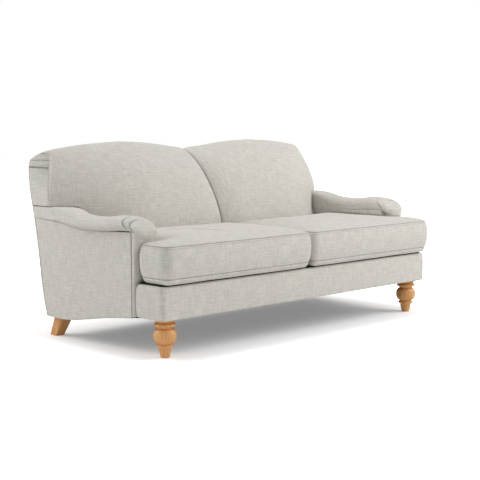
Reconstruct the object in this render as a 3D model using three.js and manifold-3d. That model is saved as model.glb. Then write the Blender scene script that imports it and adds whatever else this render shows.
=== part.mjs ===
// An English roll arm sofa, two and a half seats wide, in millimetres with +Z up.
// The origin is on the floor under the middle of the sofa, and the front faces -Y.
// Left and right are as seen from the front: left is -X and right is +X.
import * as THREE from 'three';
import { mergeVertices } from 'three/addons/utils/BufferGeometryUtils.js';
import Module from 'manifold-3d';

const wasm = await Module();
wasm.setup();

// Overall sizes
const overallWidth = 1890;
const overallHeight = 900;
const overallDepth = 990;
const halfDepth = overallDepth / 2;
const clearance = 0.3;
const overrun = 20;

// The body of the sofa: outer faces, and where its front border lies
const rollOverhang = 33;
const sideHalfWidth = overallWidth / 2 - rollOverhang;
const borderStep = 8;
const borderHalfWidth = sideHalfWidth - borderStep;
const borderSetback = 35;
const borderFrontY = borderSetback - halfDepth;
const baseBottom = 167;
const baseTop = 312;
const borderThickness = 20;
const borderCornerRadius = 24;
const borderEdgeRound = 5;
const borderCornerFacets = 6;
const cornerFacets = 4;
const undersideDrop = 74;
const undersideShares = [[-1, 0], [-0.68, 0], [-0.55, 0.08], [-0.25, 0.3], [0.06, 0.635], [0.36, 0.94],
  [0.5, 1], [1, 1]];

// The rake of the back: how far the rear face lies behind the middle, against the height
const rearLineShares = [[0, 0.7], [0.1, 0.737], [0.22, 0.796], [0.33, 0.83], [0.46, 0.868], [0.61, 0.92],
  [0.74, 0.979], [0.8, 0.996], [0.85, 1], [1, 1]];
const heightFacets = 18;
const depthFacets = 22;
const backPanelThickness = 12;
const backPanelTopShare = 0.8856;
const backPanelTop = overallHeight * backPanelTopShare;

// Arms: the outer and inner panels, the roll on top and the scroll in front
const sidePanelThickness = 12;
const armBodyWidth = 112;
const innerArmHalfGap = sideHalfWidth - armBodyWidth;
const innerPanelThickness = 22;
const armFrontShare = 0.57;
const armFrontY = -halfDepth * armFrontShare;
const facingThickness = 14;
const facingEdgeRound = 5;
const facingInset = 6;
const facingCornerFacets = 3;
const armTopHeight = 607;
const rollDip = 25;
const rollTopShares = [[-0.6, 0.75], [-0.43, 0.68], [-0.31, 0.84], [-0.09, 1], [0.14, 0.96], [0.26, 0.68],
  [0.38, 0.28], [0.5, 0.04], [0.6, 0], [1, 0]];
const rollOverhangShares = [[-0.6, 0.6], [-0.54, 0.76], [-0.46, 1], [0.1, 1], [0.4, 0.6], [0.65, 0.25],
  [0.95, 0.04], [1, 0.04]];
const rollInnerOverhang = 24;
const rollInnerShares = [[-0.6, 0.85], [-0.54, 0.92], [-0.46, 1], [-0.1, 1], [0.3, 0], [1, 0]];
// How round the roll's section is: an oval in front, and nearly square where the back sits on it
const rollRoundShares = [[-0.6, 1], [0.2, 1], [0.5, 0.42], [1, 0.42]];
const rollHalfHeight = 33;
const rollSides = 20;
const noseLength = 41;
const noseDrop = 55;
const noseStations = 7;
const nosePointShare = 0.97;

// Timber of the frame
const railThickness = 28;
const deckDrop = 12;
const railTop = baseTop - deckDrop - clearance;
const armPostWidth = 70;
const armPostDepth = 40;
const armRailWidth = 54;
const armRailThickness = 26;
const armRailCover = 26;
const tackRailHeight = 44;
const tackRailDrop = 4;
const backPostWidth = 38;
const backPostDepth = 60;
const backPostTopShare = 0.822;
const backPostTop = overallHeight * backPostTopShare;
const topRailBottomShare = 0.79;
const topRailBottom = overallHeight * topRailBottomShare;
const topRailFacets = 36;
const topRailCover = 60;
const lowerRailBottomShare = 0.444;
const lowerRailBottom = overallHeight * lowerRailBottomShare;
const lowerRailHeight = 70;
const crossRailHeight = 85;
const cornerBlockLength = 72;
const cornerBlockShare = 0.45;
const frontBlockHeight = 40;
const rearBlockHeight = 46;

// Seat springs and the hooked strips that hold them
const springCount = 8;
const springWireRadius = 2;
const springWireSides = 4;
const springHalfWidth = 24;
const springWaves = 8;
const springSteps = 48;
const springRise = 2;
const springFieldShare = 0.86;
const stripThickness = 2;
const stripCurlShare = 0.6;
const stripCurlFacets = 6;
const stripFlange = 12;
const stripEndInset = 30;

// Seat deck and the dust cover
const deckThickness = 18;
const dustCoverThickness = 1.5;
const dustCoverInset = 22;

// Back pads: one hump to each side of the centre seam
const humpTopShares = [[0, 0.946], [0.02, 0.954], [0.05, 0.962], [0.11, 0.968], [0.22, 0.981], [0.33, 0.992],
  [0.45, 0.999], [0.5, 1], [0.55, 0.998], [0.63, 0.994], [0.736, 0.985], [0.838, 0.973], [0.9, 0.965],
  [0.94, 0.959], [0.97, 0.953], [0.985, 0.947], [0.995, 0.939], [1, 0.929]];
// Each point of the hump's section: depth as a share of the half depth, height as a share of the
// overall height, and how much that point takes of the setback at the seam, of the setback at the
// end, and of the end's lean.
const humpSectionShares = [
  [0.21, 0.355, 0.6, 0.85, 0], [0.198, 0.44, 0.6, 0.9, 0], [0.196, 0.52, 0.7, 0.9, 0],
  [0.208, 0.59, 0.8, 1, 0], [0.246, 0.667, 0.95, 0.9, 0], [0.307, 0.744, 1, 0.76, 0],
  [0.394, 0.822, 1, 0.64, 0.2], [0.497, 0.889, 0.9, 0.5, 0.5], [0.618, 0.944, 0.7, 0.34, 0.8],
  [0.731, 0.983, 0.6, 0.18, 1], [0.818, 1, 0.6, 0.08, 0.9], [0.899, 0.991, 0.4, 0.03, 0.55],
  [0.962, 0.963, 0.2, 0, 0.25], [0.992, 0.93, 0, 0, 0.05], [1, 0.889, 0, 0, 0],
];
const seamSetback = 45;
const seamSetbackReach = 150;
const endSetback = 232;
const endReach = 480;
const endLean = 60;
const endLeanReach = 150;
const humpRearSteps = 7;
const padBottomLift = 0.3;
const foamThickness = 85;
const padHollowTopShare = 0.767;
const padHollowTop = overallHeight * padHollowTopShare;
const padHollowEnd = 312;
const seamGap = 0.3;
// The front edge of the boxed end: height, depth, and share of the end's lean
const endPanelShares = [[0.67, 0.676, 0], [0.718, 0.682, 0.035], [0.77, 0.708, 0.2], [0.814, 0.734, 0.43],
  [0.854, 0.767, 0.67], [0.89, 0.802, 0.88]];
const endPanelFacets = 6;

// Seat cushions
const cushionGap = 4;
const cushionSideGap = 4;
const cushionEarClearance = 18;
const cushionRearShare = 0.188;
const cushionRearY = halfDepth * cushionRearShare;
const cushionFollowShare = 0.83;
const cushionFrontBulge = 14;
const cushionCornerRadius = 52;
const cushionInnerRadius = 16;
const cushionLowerSeam = 345;
const cushionUpperSeam = 480;
const cushionCrown = 30;
const cushionCrownPower = 2.2;
const cushionCrownEase = 0.6;
const cushionTopShares = [0.97, 0.9, 0.78, 0.6, 0.35];
const cushionMiddleCornerShare = 0.7;
const cushionPinch = 5;
const cushionCornerSteps = 4;
const cushionSideSteps = 6;
const cushionHeartShares = [0.47, -0.667];
const cushionBottomShares = [0.5, 0.93, 0.985];
const cushionSideTurns = [-60, -30, 0, 30, 60];

// Front feet: a turned foot, given by the radius and height at each member of the turning
const frontFootInsetX = 70;
const frontFootInsetY = 67;
const frontFootX = borderHalfWidth - frontFootInsetX;
const frontFootY = borderFrontY + frontFootInsetY;
const footHeight = baseBottom - clearance;
const footSides = 24;
const ballRadius = 50.5;
const ballHeight = 94;
const ballHalfHeight = 31;
const beadRadius = 47;
const beadHeight = 143;
const beadHalfHeight = 8;
const ringRadius = 38;
const ringHeight = 52;
const ringHalfHeight = 5;
const collarRadius = 50;
const neckRadius = 34.5;
const neckHeight = 128;
const coveShare = 0.75;
const collarCoveShare = 0.6;
const waistRadius = 31.5;
const stemTopRadius = 27;
const stemBottomRadius = 20;
const stemRound = 3;
const turningSteps = 4;
const ballSteps = 7;

// Rear feet: square, tapered and raked
const rearFootInset = 26;
const rearFootOuterX = sideHalfWidth - rearFootInset;
const rearFootTopWidth = 65;
const rearFootBottomWidth = 49;
const rearFootTopReach = 89;
const rearFootBottomReach = 37;
const rearFootEdgeCut = 4;

// Bolts that hold the feet
const boltRadius = 4;
const boltDepth = 35;
const rearBoltInsetX = 20;
const rearBoltInsetY = 12;
const nutRadius = 8;
const nutHeight = 7;
const boltSides = 12;

const timber = new THREE.MeshStandardMaterial({ color: 0xcbb08a, roughness: 0.75, metalness: 0 });
const footTimber = new THREE.MeshStandardMaterial({ color: 0xbc8859, roughness: 0.5, metalness: 0 });
const steel = new THREE.MeshStandardMaterial({ color: 0x8d9094, roughness: 0.4, metalness: 1 });
const linen = new THREE.MeshStandardMaterial({ color: 0xcdc9c1, roughness: 0.95, metalness: 0 });
const lining = new THREE.MeshStandardMaterial({ color: 0x3b3a38, roughness: 0.95, metalness: 0 });

// A smooth line through pairs of values that never swings past them, read off anywhere between
function lineThrough(pairs) {
  const rises = pairs.slice(1).map((pair, i) => (pair[1] - pairs[i][1]) / (pair[0] - pairs[i][0]));
  const slopes = pairs.map((pair, i) => {
    if (i === 0 || i === pairs.length - 1) return 0;
    const [before, after] = [rises[i - 1], rises[i]];
    return before * after > 0 ? (2 * before * after) / (before + after) : 0;
  });
  return (place) => {
    const at = Math.min(Math.max(place, pairs[0][0]), pairs[pairs.length - 1][0]);
    let i = 0;
    while (i < pairs.length - 2 && at > pairs[i + 1][0]) i += 1;
    const span = pairs[i + 1][0] - pairs[i][0];
    const t = (at - pairs[i][0]) / span;
    const s = 1 - t;
    return pairs[i][1] * s * s * (1 + 2 * t) + pairs[i + 1][1] * t * t * (1 + 2 * s)
      + span * t * s * (slopes[i] * s - slopes[i + 1] * t);
  };
}

const undersideShare = lineThrough(undersideShares);
const rearLineShare = lineThrough(rearLineShares);
const rollTopShare = lineThrough(rollTopShares);
const rollOverhangShare = lineThrough(rollOverhangShares);
const rollInnerShare = lineThrough(rollInnerShares);
const rollRoundShare = lineThrough(rollRoundShares);
const humpTopShare = lineThrough(humpTopShares);
const endPanelFrontShare = lineThrough(endPanelShares);
const endPanelLeanShare = lineThrough(endPanelShares.map(([height, , lean]) => [height, lean]));

// Pieces that lie along one curved face share its facets, so that they meet it all along
const heightGrid = steps(0, overallHeight, heightFacets);
const depthGrid = steps(-halfDepth, halfDepth, depthFacets);
const facetted = (curve, grid) => (place) => {
  const passed = grid.filter((value) => value <= place).length;
  const next = Math.min(Math.max(passed, 1), grid.length - 1);
  const [from, to] = [grid[next - 1], grid[next]];
  return THREE.MathUtils.mapLinear(place, from, to, curve(from), curve(to));
};
const between = (grid, from, to) => [from, ...grid.filter((value) => value > from && value < to), to];
const heights = (from, to) => between(heightGrid, from, to);
const depths = (from, to) => between(depthGrid, from, to);

const underside = facetted((y) => baseBottom - undersideDrop * undersideShare(y / halfDepth), depthGrid);
const rearLine = facetted((z) => halfDepth * rearLineShare(z / overallHeight), heightGrid);
const rollTop = facetted((y) => armTopHeight - rollDip * rollTopShare(y / halfDepth), depthGrid);
const frameRear = (z) => rearLine(z) - backPanelThickness - clearance;

// Places worked out from the sizes above
const facingBackY = armFrontY + facingThickness;
const armBodyFrontY = facingBackY + clearance;
const sidePanelInnerX = sideHalfWidth - sidePanelThickness;
const timberOuterX = sidePanelInnerX - clearance;
const innerPanelOuterX = innerArmHalfGap + innerPanelThickness;
const armPostRearY = armBodyFrontY + armPostDepth;
const borderInnerX = borderHalfWidth - borderThickness;
const frontRailFrontY = borderFrontY + borderThickness + clearance;
const frontRailRearY = frontRailFrontY + railThickness;
const earTimberOuterX = borderInnerX - clearance;
const innerCornerRadius = borderCornerRadius - borderThickness;
const deckBottom = railTop + clearance;
const deckTop = deckBottom + deckThickness;
const backPostInnerX = timberOuterX - backPostWidth;
const betweenPostsX = backPostInnerX - clearance;
const lowestZ = underside(halfDepth);
const rearFootTopFrontY = rearLine(lowestZ) - rearFootTopReach;
const rearFootBottomFrontY = rearLine(lowestZ) - rearFootBottomReach;
const armPostTop = Math.min(...depths(armBodyFrontY, armPostRearY).map(rollTop))
  - armRailCover - armRailThickness - clearance;
const hookRadius = springWireRadius + clearance;
const springEndZ = railTop - stripThickness - hookRadius;
const frontStripY = frontRailRearY + clearance;
const rearStripY = frameRear(springEndZ - stripFlange) - railThickness - clearance;

// Turns a closed geometry into a solid that can be cut and joined
function solidFrom(geometry) {
  const bare = geometry.clone();
  bare.deleteAttribute('normal');
  bare.deleteAttribute('uv');
  const welded = mergeVertices(bare);
  return new wasm.Manifold(new wasm.Mesh({
    numProp: 3,
    vertProperties: new Float32Array(welded.attributes.position.array),
    triVerts: new Uint32Array(welded.index.array),
  }));
}

// Turns a solid back into a geometry
function geometryFrom(solid) {
  const mesh = solid.getMesh();
  const geometry = new THREE.BufferGeometry();
  geometry.setAttribute('position', new THREE.BufferAttribute(new Float32Array(mesh.vertProperties), 3));
  geometry.setIndex(new THREE.BufferAttribute(new Uint32Array(mesh.triVerts), 1));
  geometry.computeVertexNormals();
  return geometry;
}

// Cuts each of the other geometries out of the first
function cut(geometry, ...others) {
  let solid = solidFrom(geometry);
  for (const other of others) solid = solid.subtract(solidFrom(other));
  return geometryFrom(solid);
}

function join(geometry, other) {
  return geometryFrom(solidFrom(geometry).add(solidFrom(other)));
}

// The same form on the other side of the sofa
function mirrored(geometry) {
  const copy = (geometry.index ? geometry : mergeVertices(geometry)).clone();
  copy.scale(-1, 1, 1);
  const order = copy.index.array;
  for (let i = 0; i < order.length; i += 3) [order[i], order[i + 1]] = [order[i + 1], order[i]];
  copy.computeVertexNormals();
  return copy;
}

const alongX = new THREE.Matrix4().makeBasis(
  new THREE.Vector3(0, 1, 0), new THREE.Vector3(0, 0, 1), new THREE.Vector3(1, 0, 0));
const alongY = new THREE.Matrix4().makeBasis(
  new THREE.Vector3(1, 0, 0), new THREE.Vector3(0, 0, 1), new THREE.Vector3(0, -1, 0));

// A flat outline carried from one place to another, with its edges rounded if asked
function slab(outline, length, round) {
  const shape = new THREE.Shape(outline.map(([across, up]) => new THREE.Vector2(across, up)));
  const geometry = new THREE.ExtrudeGeometry(shape, {
    depth: length - 2 * round,
    bevelEnabled: round > 0,
    bevelThickness: round,
    bevelSize: round,
    bevelOffset: -round,
    bevelSegments: 2,
    curveSegments: 6,
  });
  return geometry.translate(0, 0, round);
}

// Outline in (y, z), between two places along the width
function acrossWidth(outline, from, to, round = 0) {
  return slab(outline, to - from, round).applyMatrix4(alongX).translate(from, 0, 0);
}

// Outline in (x, z), between two places along the depth
function acrossDepth(outline, from, to, round = 0) {
  return slab(outline, to - from, round).applyMatrix4(alongY).translate(0, to, 0);
}

// Outline in (x, y), between two heights
function upwards(outline, from, to, round = 0) {
  return slab(outline, to - from, round).translate(0, 0, from);
}

function board(x0, x1, y0, y1, z0, z1) {
  const geometry = new THREE.BoxGeometry(x1 - x0, y1 - y0, z1 - z0);
  return geometry.translate((x0 + x1) / 2, (y0 + y1) / 2, (z0 + z1) / 2);
}

const area = (ring) => THREE.ShapeUtils.area(ring);

// A skin over rings of equally many points, closed at both ends
function loft(rings) {
  const count = rings[0].length;
  const places = rings.flat().flatMap(([x, y, z]) => [x, y, z]);
  const faces = [];
  for (let r = 0; r + 1 < rings.length; r += 1) {
    for (let i = 0; i < count; i += 1) {
      const a = r * count + i;
      const b = r * count + ((i + 1) % count);
      faces.push([a, b, b + count], [a, b + count, a + count]);
    }
  }
  for (const [r, turn] of [[0, -1], [rings.length - 1, 1]]) {
    const spread = [0, 1, 2].map((axis) => {
      const values = rings[r].map((point) => point[axis]);
      return Math.max(...values) - Math.min(...values);
    });
    const dropped = spread.indexOf(Math.min(...spread));
    const kept = [0, 1, 2].filter((axis) => axis !== dropped);
    const flat = rings[r].map((point) => new THREE.Vector2(point[kept[0]], point[kept[1]]));
    const ringTurn = Math.sign(area(flat));
    for (const [a, b, c] of THREE.ShapeUtils.triangulateShape(flat, [])) {
      const same = Math.sign(area([flat[a], flat[b], flat[c]])) === ringTurn;
      const face = same === (turn > 0) ? [a, b, c] : [a, c, b];
      faces.push(face.map((corner) => corner + r * count));
    }
  }
  const geometry = new THREE.BufferGeometry();
  geometry.setAttribute('position', new THREE.Float32BufferAttribute(places, 3));
  const point = (i) => new THREE.Vector3().fromArray(places, i * 3);
  let volume = 0;
  for (const [a, b, c] of faces) volume += point(a).dot(point(b).cross(point(c)));
  geometry.setIndex(faces.flatMap(([a, b, c]) => (volume > 0 ? [a, b, c] : [a, c, b])));
  geometry.computeVertexNormals();
  return geometry;
}

// Evenly spaced values from one end to the other
function steps(from, to, count) {
  return Array.from({ length: count + 1 }, (_, i) => from + ((to - from) * i) / count);
}

// A closed outline with rounded corners, from [x, y, radius] corners
function rounded(corners, cornerSteps, sideSteps = 1) {
  const outline = [];
  corners.forEach(([x, y, radius], i) => {
    const here = new THREE.Vector2(x, y);
    const before = new THREE.Vector2(...corners[(i + corners.length - 1) % corners.length]);
    const after = new THREE.Vector2(...corners[(i + 1) % corners.length]);
    const inward = before.sub(here).normalize();
    const outward = after.sub(here).normalize();
    const start = here.clone().addScaledVector(inward, radius);
    const centre = start.clone().addScaledVector(outward, radius);
    for (const turn of steps(0, Math.PI / 2, cornerSteps)) {
      outline.push(centre.clone()
        .addScaledVector(outward, -radius * Math.cos(turn))
        .addScaledVector(inward, -radius * Math.sin(turn)));
    }
  });
  const spaced = [];
  outline.forEach((point, i) => {
    spaced.push(point);
    const next = outline[(i + 1) % outline.length];
    const lastOfCorner = i % (cornerSteps + 1) === cornerSteps;
    if (!lastOfCorner) return;
    for (let s = 1; s < sideSteps; s += 1) spaced.push(point.clone().lerp(next, s / sideSteps));
  });
  return spaced;
}

// Timber frame. Each member is built with a growth, so that the padding round it can be cut.
function frontRail() {
  const outline = rounded([
    [-earTimberOuterX, frontRailFrontY, innerCornerRadius],
    [earTimberOuterX, frontRailFrontY, innerCornerRadius],
    [earTimberOuterX, frontRailRearY, 0],
    [-earTimberOuterX, frontRailRearY, 0],
  ], cornerFacets);
  return upwards(mergeRepeats(outline), baseBottom, railTop);
}

// Drops the repeated points that a square corner leaves, and gives the rest as pairs
function mergeRepeats(outline) {
  return outline.filter((point, i) => {
    const before = outline[(i + outline.length - 1) % outline.length];
    return point.distanceTo(before) > clearance / 2;
  }).map((point) => [point.x, point.y]);
}

function earBlock(growth) {
  const outer = earTimberOuterX + growth;
  const inner = earTimberOuterX - railThickness - growth;
  return board(inner, outer, frontRailRearY + clearance, armBodyFrontY - clearance + growth,
    baseBottom - growth, railTop + growth);
}

function sideRail() {
  const front = armPostRearY + clearance;
  const rear = (z) => frameRear(z) - backPostDepth - clearance;
  const bottom = depths(front, rear(lowestZ)).map((y) => [y, underside(y)]);
  const end = heights(lowestZ, railTop).slice(1).map((z) => [rear(z), z]);
  return acrossWidth([...bottom, ...end, [front, railTop]], timberOuterX - railThickness, timberOuterX);
}

// A raked upright that follows the rear line
function rakedPost(x0, x1, depth, bottom, top, growth = 0) {
  const up = heights(bottom - growth, top + growth);
  const rear = up.map((z) => [frameRear(z) + growth, z]);
  const front = up.map((z) => [frameRear(z) - depth - growth, z]).reverse();
  return acrossWidth([...rear, ...front], x0 - growth, x1 + growth);
}

function topRail(growth) {
  const rear = frameRear(topRailBottom) + growth;
  const end = betweenPostsX + growth;
  const top = steps(-end, end, topRailFacets).map((x) => [x,
    overallHeight * humpTopShare(Math.abs(x) / sideHalfWidth) - topRailCover + growth]);
  const outline = [[-end, topRailBottom - growth], [end, topRailBottom - growth], ...top.reverse()];
  return acrossDepth(outline, rear - railThickness - 2 * growth, rear);
}

function lowerRail(growth) {
  const rearOffset = railThickness + clearance - growth;
  const up = heights(lowerRailBottom - growth, lowerRailBottom + lowerRailHeight + growth);
  const rear = up.map((z) => [frameRear(z) - rearOffset, z]);
  const front = up.map((z) => [frameRear(z) - rearOffset - railThickness - 2 * growth, z]).reverse();
  return acrossWidth([...rear, ...front], -betweenPostsX - growth, betweenPostsX + growth);
}

function armPost(growth) {
  return board(timberOuterX - armPostWidth - growth, timberOuterX + growth,
    armBodyFrontY - growth, armPostRearY + growth,
    baseBottom - growth, armPostTop + growth);
}

// The arm rail is sawn to the S of the arm's top line
function armRail(growth) {
  const rear = frameRear(armTopHeight) - backPostDepth - clearance + growth;
  const along = depths(armBodyFrontY - growth, rear);
  const top = along.map((y) => [y, rollTop(y) - armRailCover + growth]);
  const bottom = along.map((y) => [y, rollTop(y) - armRailCover - armRailThickness - growth]).reverse();
  const solid = acrossWidth([...top, ...bottom],
    timberOuterX - armRailWidth - growth, timberOuterX - clearance + growth);
  return cut(solid, backPost(clearance - growth));
}

function backPost(growth) {
  return rakedPost(backPostInnerX, timberOuterX, backPostDepth, lowestZ, backPostTop, growth);
}

function tackRail() {
  const rear = frameRear(railTop) - backPostDepth - clearance;
  return board(innerPanelOuterX + clearance, innerPanelOuterX + clearance + railThickness,
    armPostRearY + clearance, rear, railTop - tackRailDrop, railTop - tackRailDrop + tackRailHeight);
}

function rearRail() {
  return rakedPost(-betweenPostsX, betweenPostsX, railThickness, lowestZ, railTop);
}

function crossRail() {
  const top = baseBottom + crossRailHeight;
  const rear = (z) => frameRear(z) - railThickness - clearance;
  const front = frontRailRearY + clearance;
  return acrossWidth([[front, baseBottom], [rear(baseBottom), baseBottom], [rear(top), top], [front, top]],
    -railThickness / 2, railThickness / 2);
}

// Triangular glued blocks in the corners of the base, which carry the feet
function frontBlock() {
  const outer = earTimberOuterX - railThickness - clearance;
  const front = frontRailRearY + clearance;
  const short = cornerBlockLength * cornerBlockShare;
  return upwards([
    [outer, front],
    [outer, front + cornerBlockLength],
    [outer - short, front + cornerBlockLength],
    [outer - cornerBlockLength, front + short],
    [outer - cornerBlockLength, front],
  ], baseBottom, baseBottom + frontBlockHeight);
}

function rearBlock() {
  const outer = betweenPostsX;
  const rear = frameRear(lowestZ) - railThickness - clearance;
  const short = cornerBlockLength * cornerBlockShare;
  return upwards([
    [outer, rear],
    [outer - cornerBlockLength, rear],
    [outer - cornerBlockLength, rear - short],
    [outer - short, rear - cornerBlockLength],
    [outer, rear - cornerBlockLength],
  ], lowestZ, lowestZ + rearBlockHeight);
}

// A steel strip whose lip curls over the springs' ends, along a rail's inner face
function springStrip(faceY, inward) {
  const half = betweenPostsX - stripEndInset;
  const arc = (radius, turn) => [
    faceY + inward * (stripThickness + hookRadius - radius * Math.cos(turn)),
    springEndZ + radius * Math.sin(turn)];
  const curl = steps(0, Math.PI * stripCurlShare, stripCurlFacets);
  const outside = curl.map((turn) => arc(hookRadius + stripThickness, turn));
  const inside = curl.map((turn) => arc(hookRadius, turn)).reverse();
  const foot = springEndZ - stripFlange;
  const outline = [[outside[0][0], foot], ...outside, ...inside, [inside[inside.length - 1][0], foot]];
  return acrossWidth(outline, -half, half);
}

// A zigzag seat spring, which lies between the two strips and rises a little in the middle
function seatSpring() {
  const front = frontStripY + stripThickness + hookRadius;
  const rear = rearStripY - stripThickness - hookRadius;
  class Zigzag extends THREE.Curve {
    getPoint(t, target = new THREE.Vector3()) {
      const end = Math.min(1, Math.sin(Math.PI * t) * springWaves);
      return target.set(
        springHalfWidth * end * Math.sin(2 * Math.PI * springWaves * t),
        front + (rear - front) * t,
        springEndZ + springRise * Math.sin(Math.PI * t));
    }
  }
  const section = new THREE.Shape(steps(0, 2 * Math.PI, springWireSides).slice(0, -1).map((turn) =>
    new THREE.Vector2(springWireRadius * Math.cos(turn), springWireRadius * Math.sin(turn))));
  return new THREE.ExtrudeGeometry(section, { steps: springSteps, extrudePath: new Zigzag() });
}

// The padded platform under the cushions, with ears in front of the arms
function seatDeck() {
  const ear = earTimberOuterX;
  const body = innerArmHalfGap - clearance;
  const step = armFrontY - clearance;
  const rear = frameRear(deckBottom) - clearance;
  const outline = rounded([
    [-ear, frontRailFrontY, innerCornerRadius], [ear, frontRailFrontY, innerCornerRadius],
    [ear, step, 0], [body, step, 0], [body, rear, 0],
    [-body, rear, 0], [-body, step, 0], [-ear, step, 0],
  ], cornerFacets);
  return cut(upwards(mergeRepeats(outline), deckBottom, deckTop), centrePost(clearance));
}

function centrePost(growth) {
  return rakedPost(-railThickness / 2, railThickness / 2, railThickness, railTop + clearance,
    topRailBottom - clearance, growth);
}

// Black cloth tacked under the rails
function dustCover() {
  const front = borderFrontY + dustCoverInset;
  const rear = rearLine(lowestZ) - dustCoverInset;
  const half = sidePanelInnerX - dustCoverInset;
  const along = depths(front, rear);
  const top = along.map((y) => [y, underside(y) - clearance]);
  const bottom = along.map((y) => [y, underside(y) - clearance - dustCoverThickness]).reverse();
  const sheet = acrossWidth([...top, ...bottom], -half, half);
  const nearFoot = frontFootX - collarRadius - clearance;
  const behindFoot = frontFootY + collarRadius + clearance;
  const frontNotch = board(nearFoot, half + overrun, front - overrun, behindFoot, -overrun, baseTop);
  const besideRearFoot = rearFootOuterX - rearFootTopWidth - clearance;
  const beforeRearFoot = rearFootTopFrontY - clearance;
  const rearNotch = board(besideRearFoot, half + overrun, beforeRearFoot, rear + overrun, -overrun, baseTop);
  return cut(sheet, frontNotch, mirrored(frontNotch), rearNotch, mirrored(rearNotch));
}

// The upholstered border round the front of the base and its two short returns
function seatBorder() {
  const outer = rounded([
    [-borderHalfWidth, armFrontY - clearance, 0],
    [-borderHalfWidth, borderFrontY, borderCornerRadius],
    [borderHalfWidth, borderFrontY, borderCornerRadius],
    [borderHalfWidth, armFrontY - clearance, 0],
  ], borderCornerFacets);
  const inner = rounded([
    [borderInnerX, armFrontY - clearance, 0],
    [borderInnerX, borderFrontY + borderThickness, innerCornerRadius],
    [-borderInnerX, borderFrontY + borderThickness, innerCornerRadius],
    [-borderInnerX, armFrontY - clearance, 0],
  ], borderCornerFacets);
  const outline = mergeRepeats([...outer, ...inner]);
  return upwards(outline, baseBottom, baseTop, borderEdgeRound);
}

// The roll's section at a place along the arm: its middle and half its width
function rollSection(y) {
  const outer = sideHalfWidth + rollOverhang * rollOverhangShare(y / halfDepth);
  const inner = innerArmHalfGap - rollInnerOverhang * rollInnerShare(y / halfDepth);
  return { middle: (outer + inner) / 2, halfWidth: (outer - inner) / 2 };
}

// An oval's outline from its half sizes, squarer the smaller the roundness
function oval(halfWidth, halfHeight, roundness = 1) {
  const squared = (value) => Math.sign(value) * Math.abs(value) ** roundness;
  return steps(0, 2 * Math.PI, rollSides).slice(0, -1).map((turn) =>
    [halfWidth * squared(Math.cos(turn)), halfHeight * squared(Math.sin(turn))]);
}

// The padded roll on top of an arm. Its section is an oval that squares off towards the back.
function rollForm(growth) {
  return loft(depths(armBodyFrontY - growth, frameRear(armTopHeight) + overrun / 2).map((y) => {
    const { middle, halfWidth } = rollSection(y);
    const section = oval(halfWidth + growth, rollHalfHeight + growth, rollRoundShare(y / halfDepth));
    return section.map(([across, rise]) => [middle + across, y, rollTop(y) - rollHalfHeight + rise]);
  }));
}

function armRoll() {
  return cut(rollForm(0), rearCutter(), armRail(clearance), armPost(clearance), backPost(clearance));
}

// The front of an arm: an upright strip, and above it the nose of the roll
function armFacing() {
  const outline = rounded([
    [innerArmHalfGap + facingInset, baseBottom, facingEdgeRound],
    [sideHalfWidth, baseBottom, facingEdgeRound],
    [sideHalfWidth, rollTop(armFrontY) - rollHalfHeight, facingEdgeRound],
    [innerArmHalfGap + facingInset, rollTop(armFrontY) - rollHalfHeight, facingEdgeRound],
  ], facingCornerFacets).map((p) => [p.x, p.y]);
  const strip = acrossDepth(outline, armFrontY, facingBackY);
  const { middle, halfWidth } = rollSection(facingBackY);
  const rings = steps(0, Math.asin(nosePointShare), noseStations - 1).map((turn) => {
    const size = Math.cos(turn);
    const centre = rollTop(facingBackY) - rollHalfHeight - noseDrop * (1 - size);
    const y = facingBackY - noseLength * Math.sin(turn);
    return oval(halfWidth * size, rollHalfHeight * size)
      .map(([across, rise]) => [middle + across, y, centre + rise]);
  });
  return cut(join(strip, loft(rings)), earBlock(clearance));
}

function outerArmPanel() {
  const rear = (z) => frameRear(z);
  const bottom = depths(armBodyFrontY, rear(lowestZ)).map((y) => [y, underside(y)]);
  const rearTop = armTopHeight - rollHalfHeight;
  const end = heights(lowestZ, rearTop).slice(1).map((z) => [rear(z), z]);
  const top = depths(armBodyFrontY, rear(rearTop)).slice(0, -1).reverse()
    .map((y) => [y, rollTop(y) - rollHalfHeight]);
  const panel = acrossWidth([...bottom, ...end, ...top], sidePanelInnerX, sideHalfWidth);
  return cut(panel, rollForm(clearance));
}

function innerArmPanel() {
  const rear = (z) => frameRear(z) - backPostDepth - clearance;
  const top = depths(armBodyFrontY, rear(armTopHeight - rollHalfHeight)).reverse()
    .map((y) => [y, rollTop(y) - rollHalfHeight]);
  const outline = [[armBodyFrontY, deckBottom], [rear(deckBottom), deckBottom], ...top];
  return cut(acrossWidth(outline, innerArmHalfGap, innerPanelOuterX), rollForm(clearance));
}

// How far the back has begun to recede at a place between the centre seam and the end
const endShare = (x) => Math.max(0, (x - sideHalfWidth + endReach) / endReach) ** 2;

// The outline of one hump's section at a place between the centre seam and the end
function humpRing(x) {
  const bottom = deckTop + padBottomLift;
  const top = overallHeight * humpTopShare(x / sideHalfWidth);
  const seam = Math.max(0, 1 - x / seamSetbackReach) ** 2;
  const lean = endLean * Math.max(0, (x - sideHalfWidth + endLeanReach) / endLeanReach) ** 2;
  const crest = humpSectionShares.findIndex(([, zShare]) => zShare === 1);
  const outline = humpSectionShares.map(([yShare, zShare, seamTake, endTake, leanTake], i) => {
    const base = i > crest ? backPanelTop : bottom;
    const stretch = (top - base) / (overallHeight - base);
    return [
      x - lean * leanTake,
      halfDepth * yShare + seamSetback * seam * seamTake + endSetback * endShare(x) * endTake,
      base + Math.max(0, overallHeight * zShare - base) * stretch,
    ];
  });
  const [, , last] = outline[outline.length - 1];
  const rear = steps(last, bottom, humpRearSteps).slice(1).map((z) => [x, rearLine(z), z]);
  return [...outline, ...rear];
}

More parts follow.
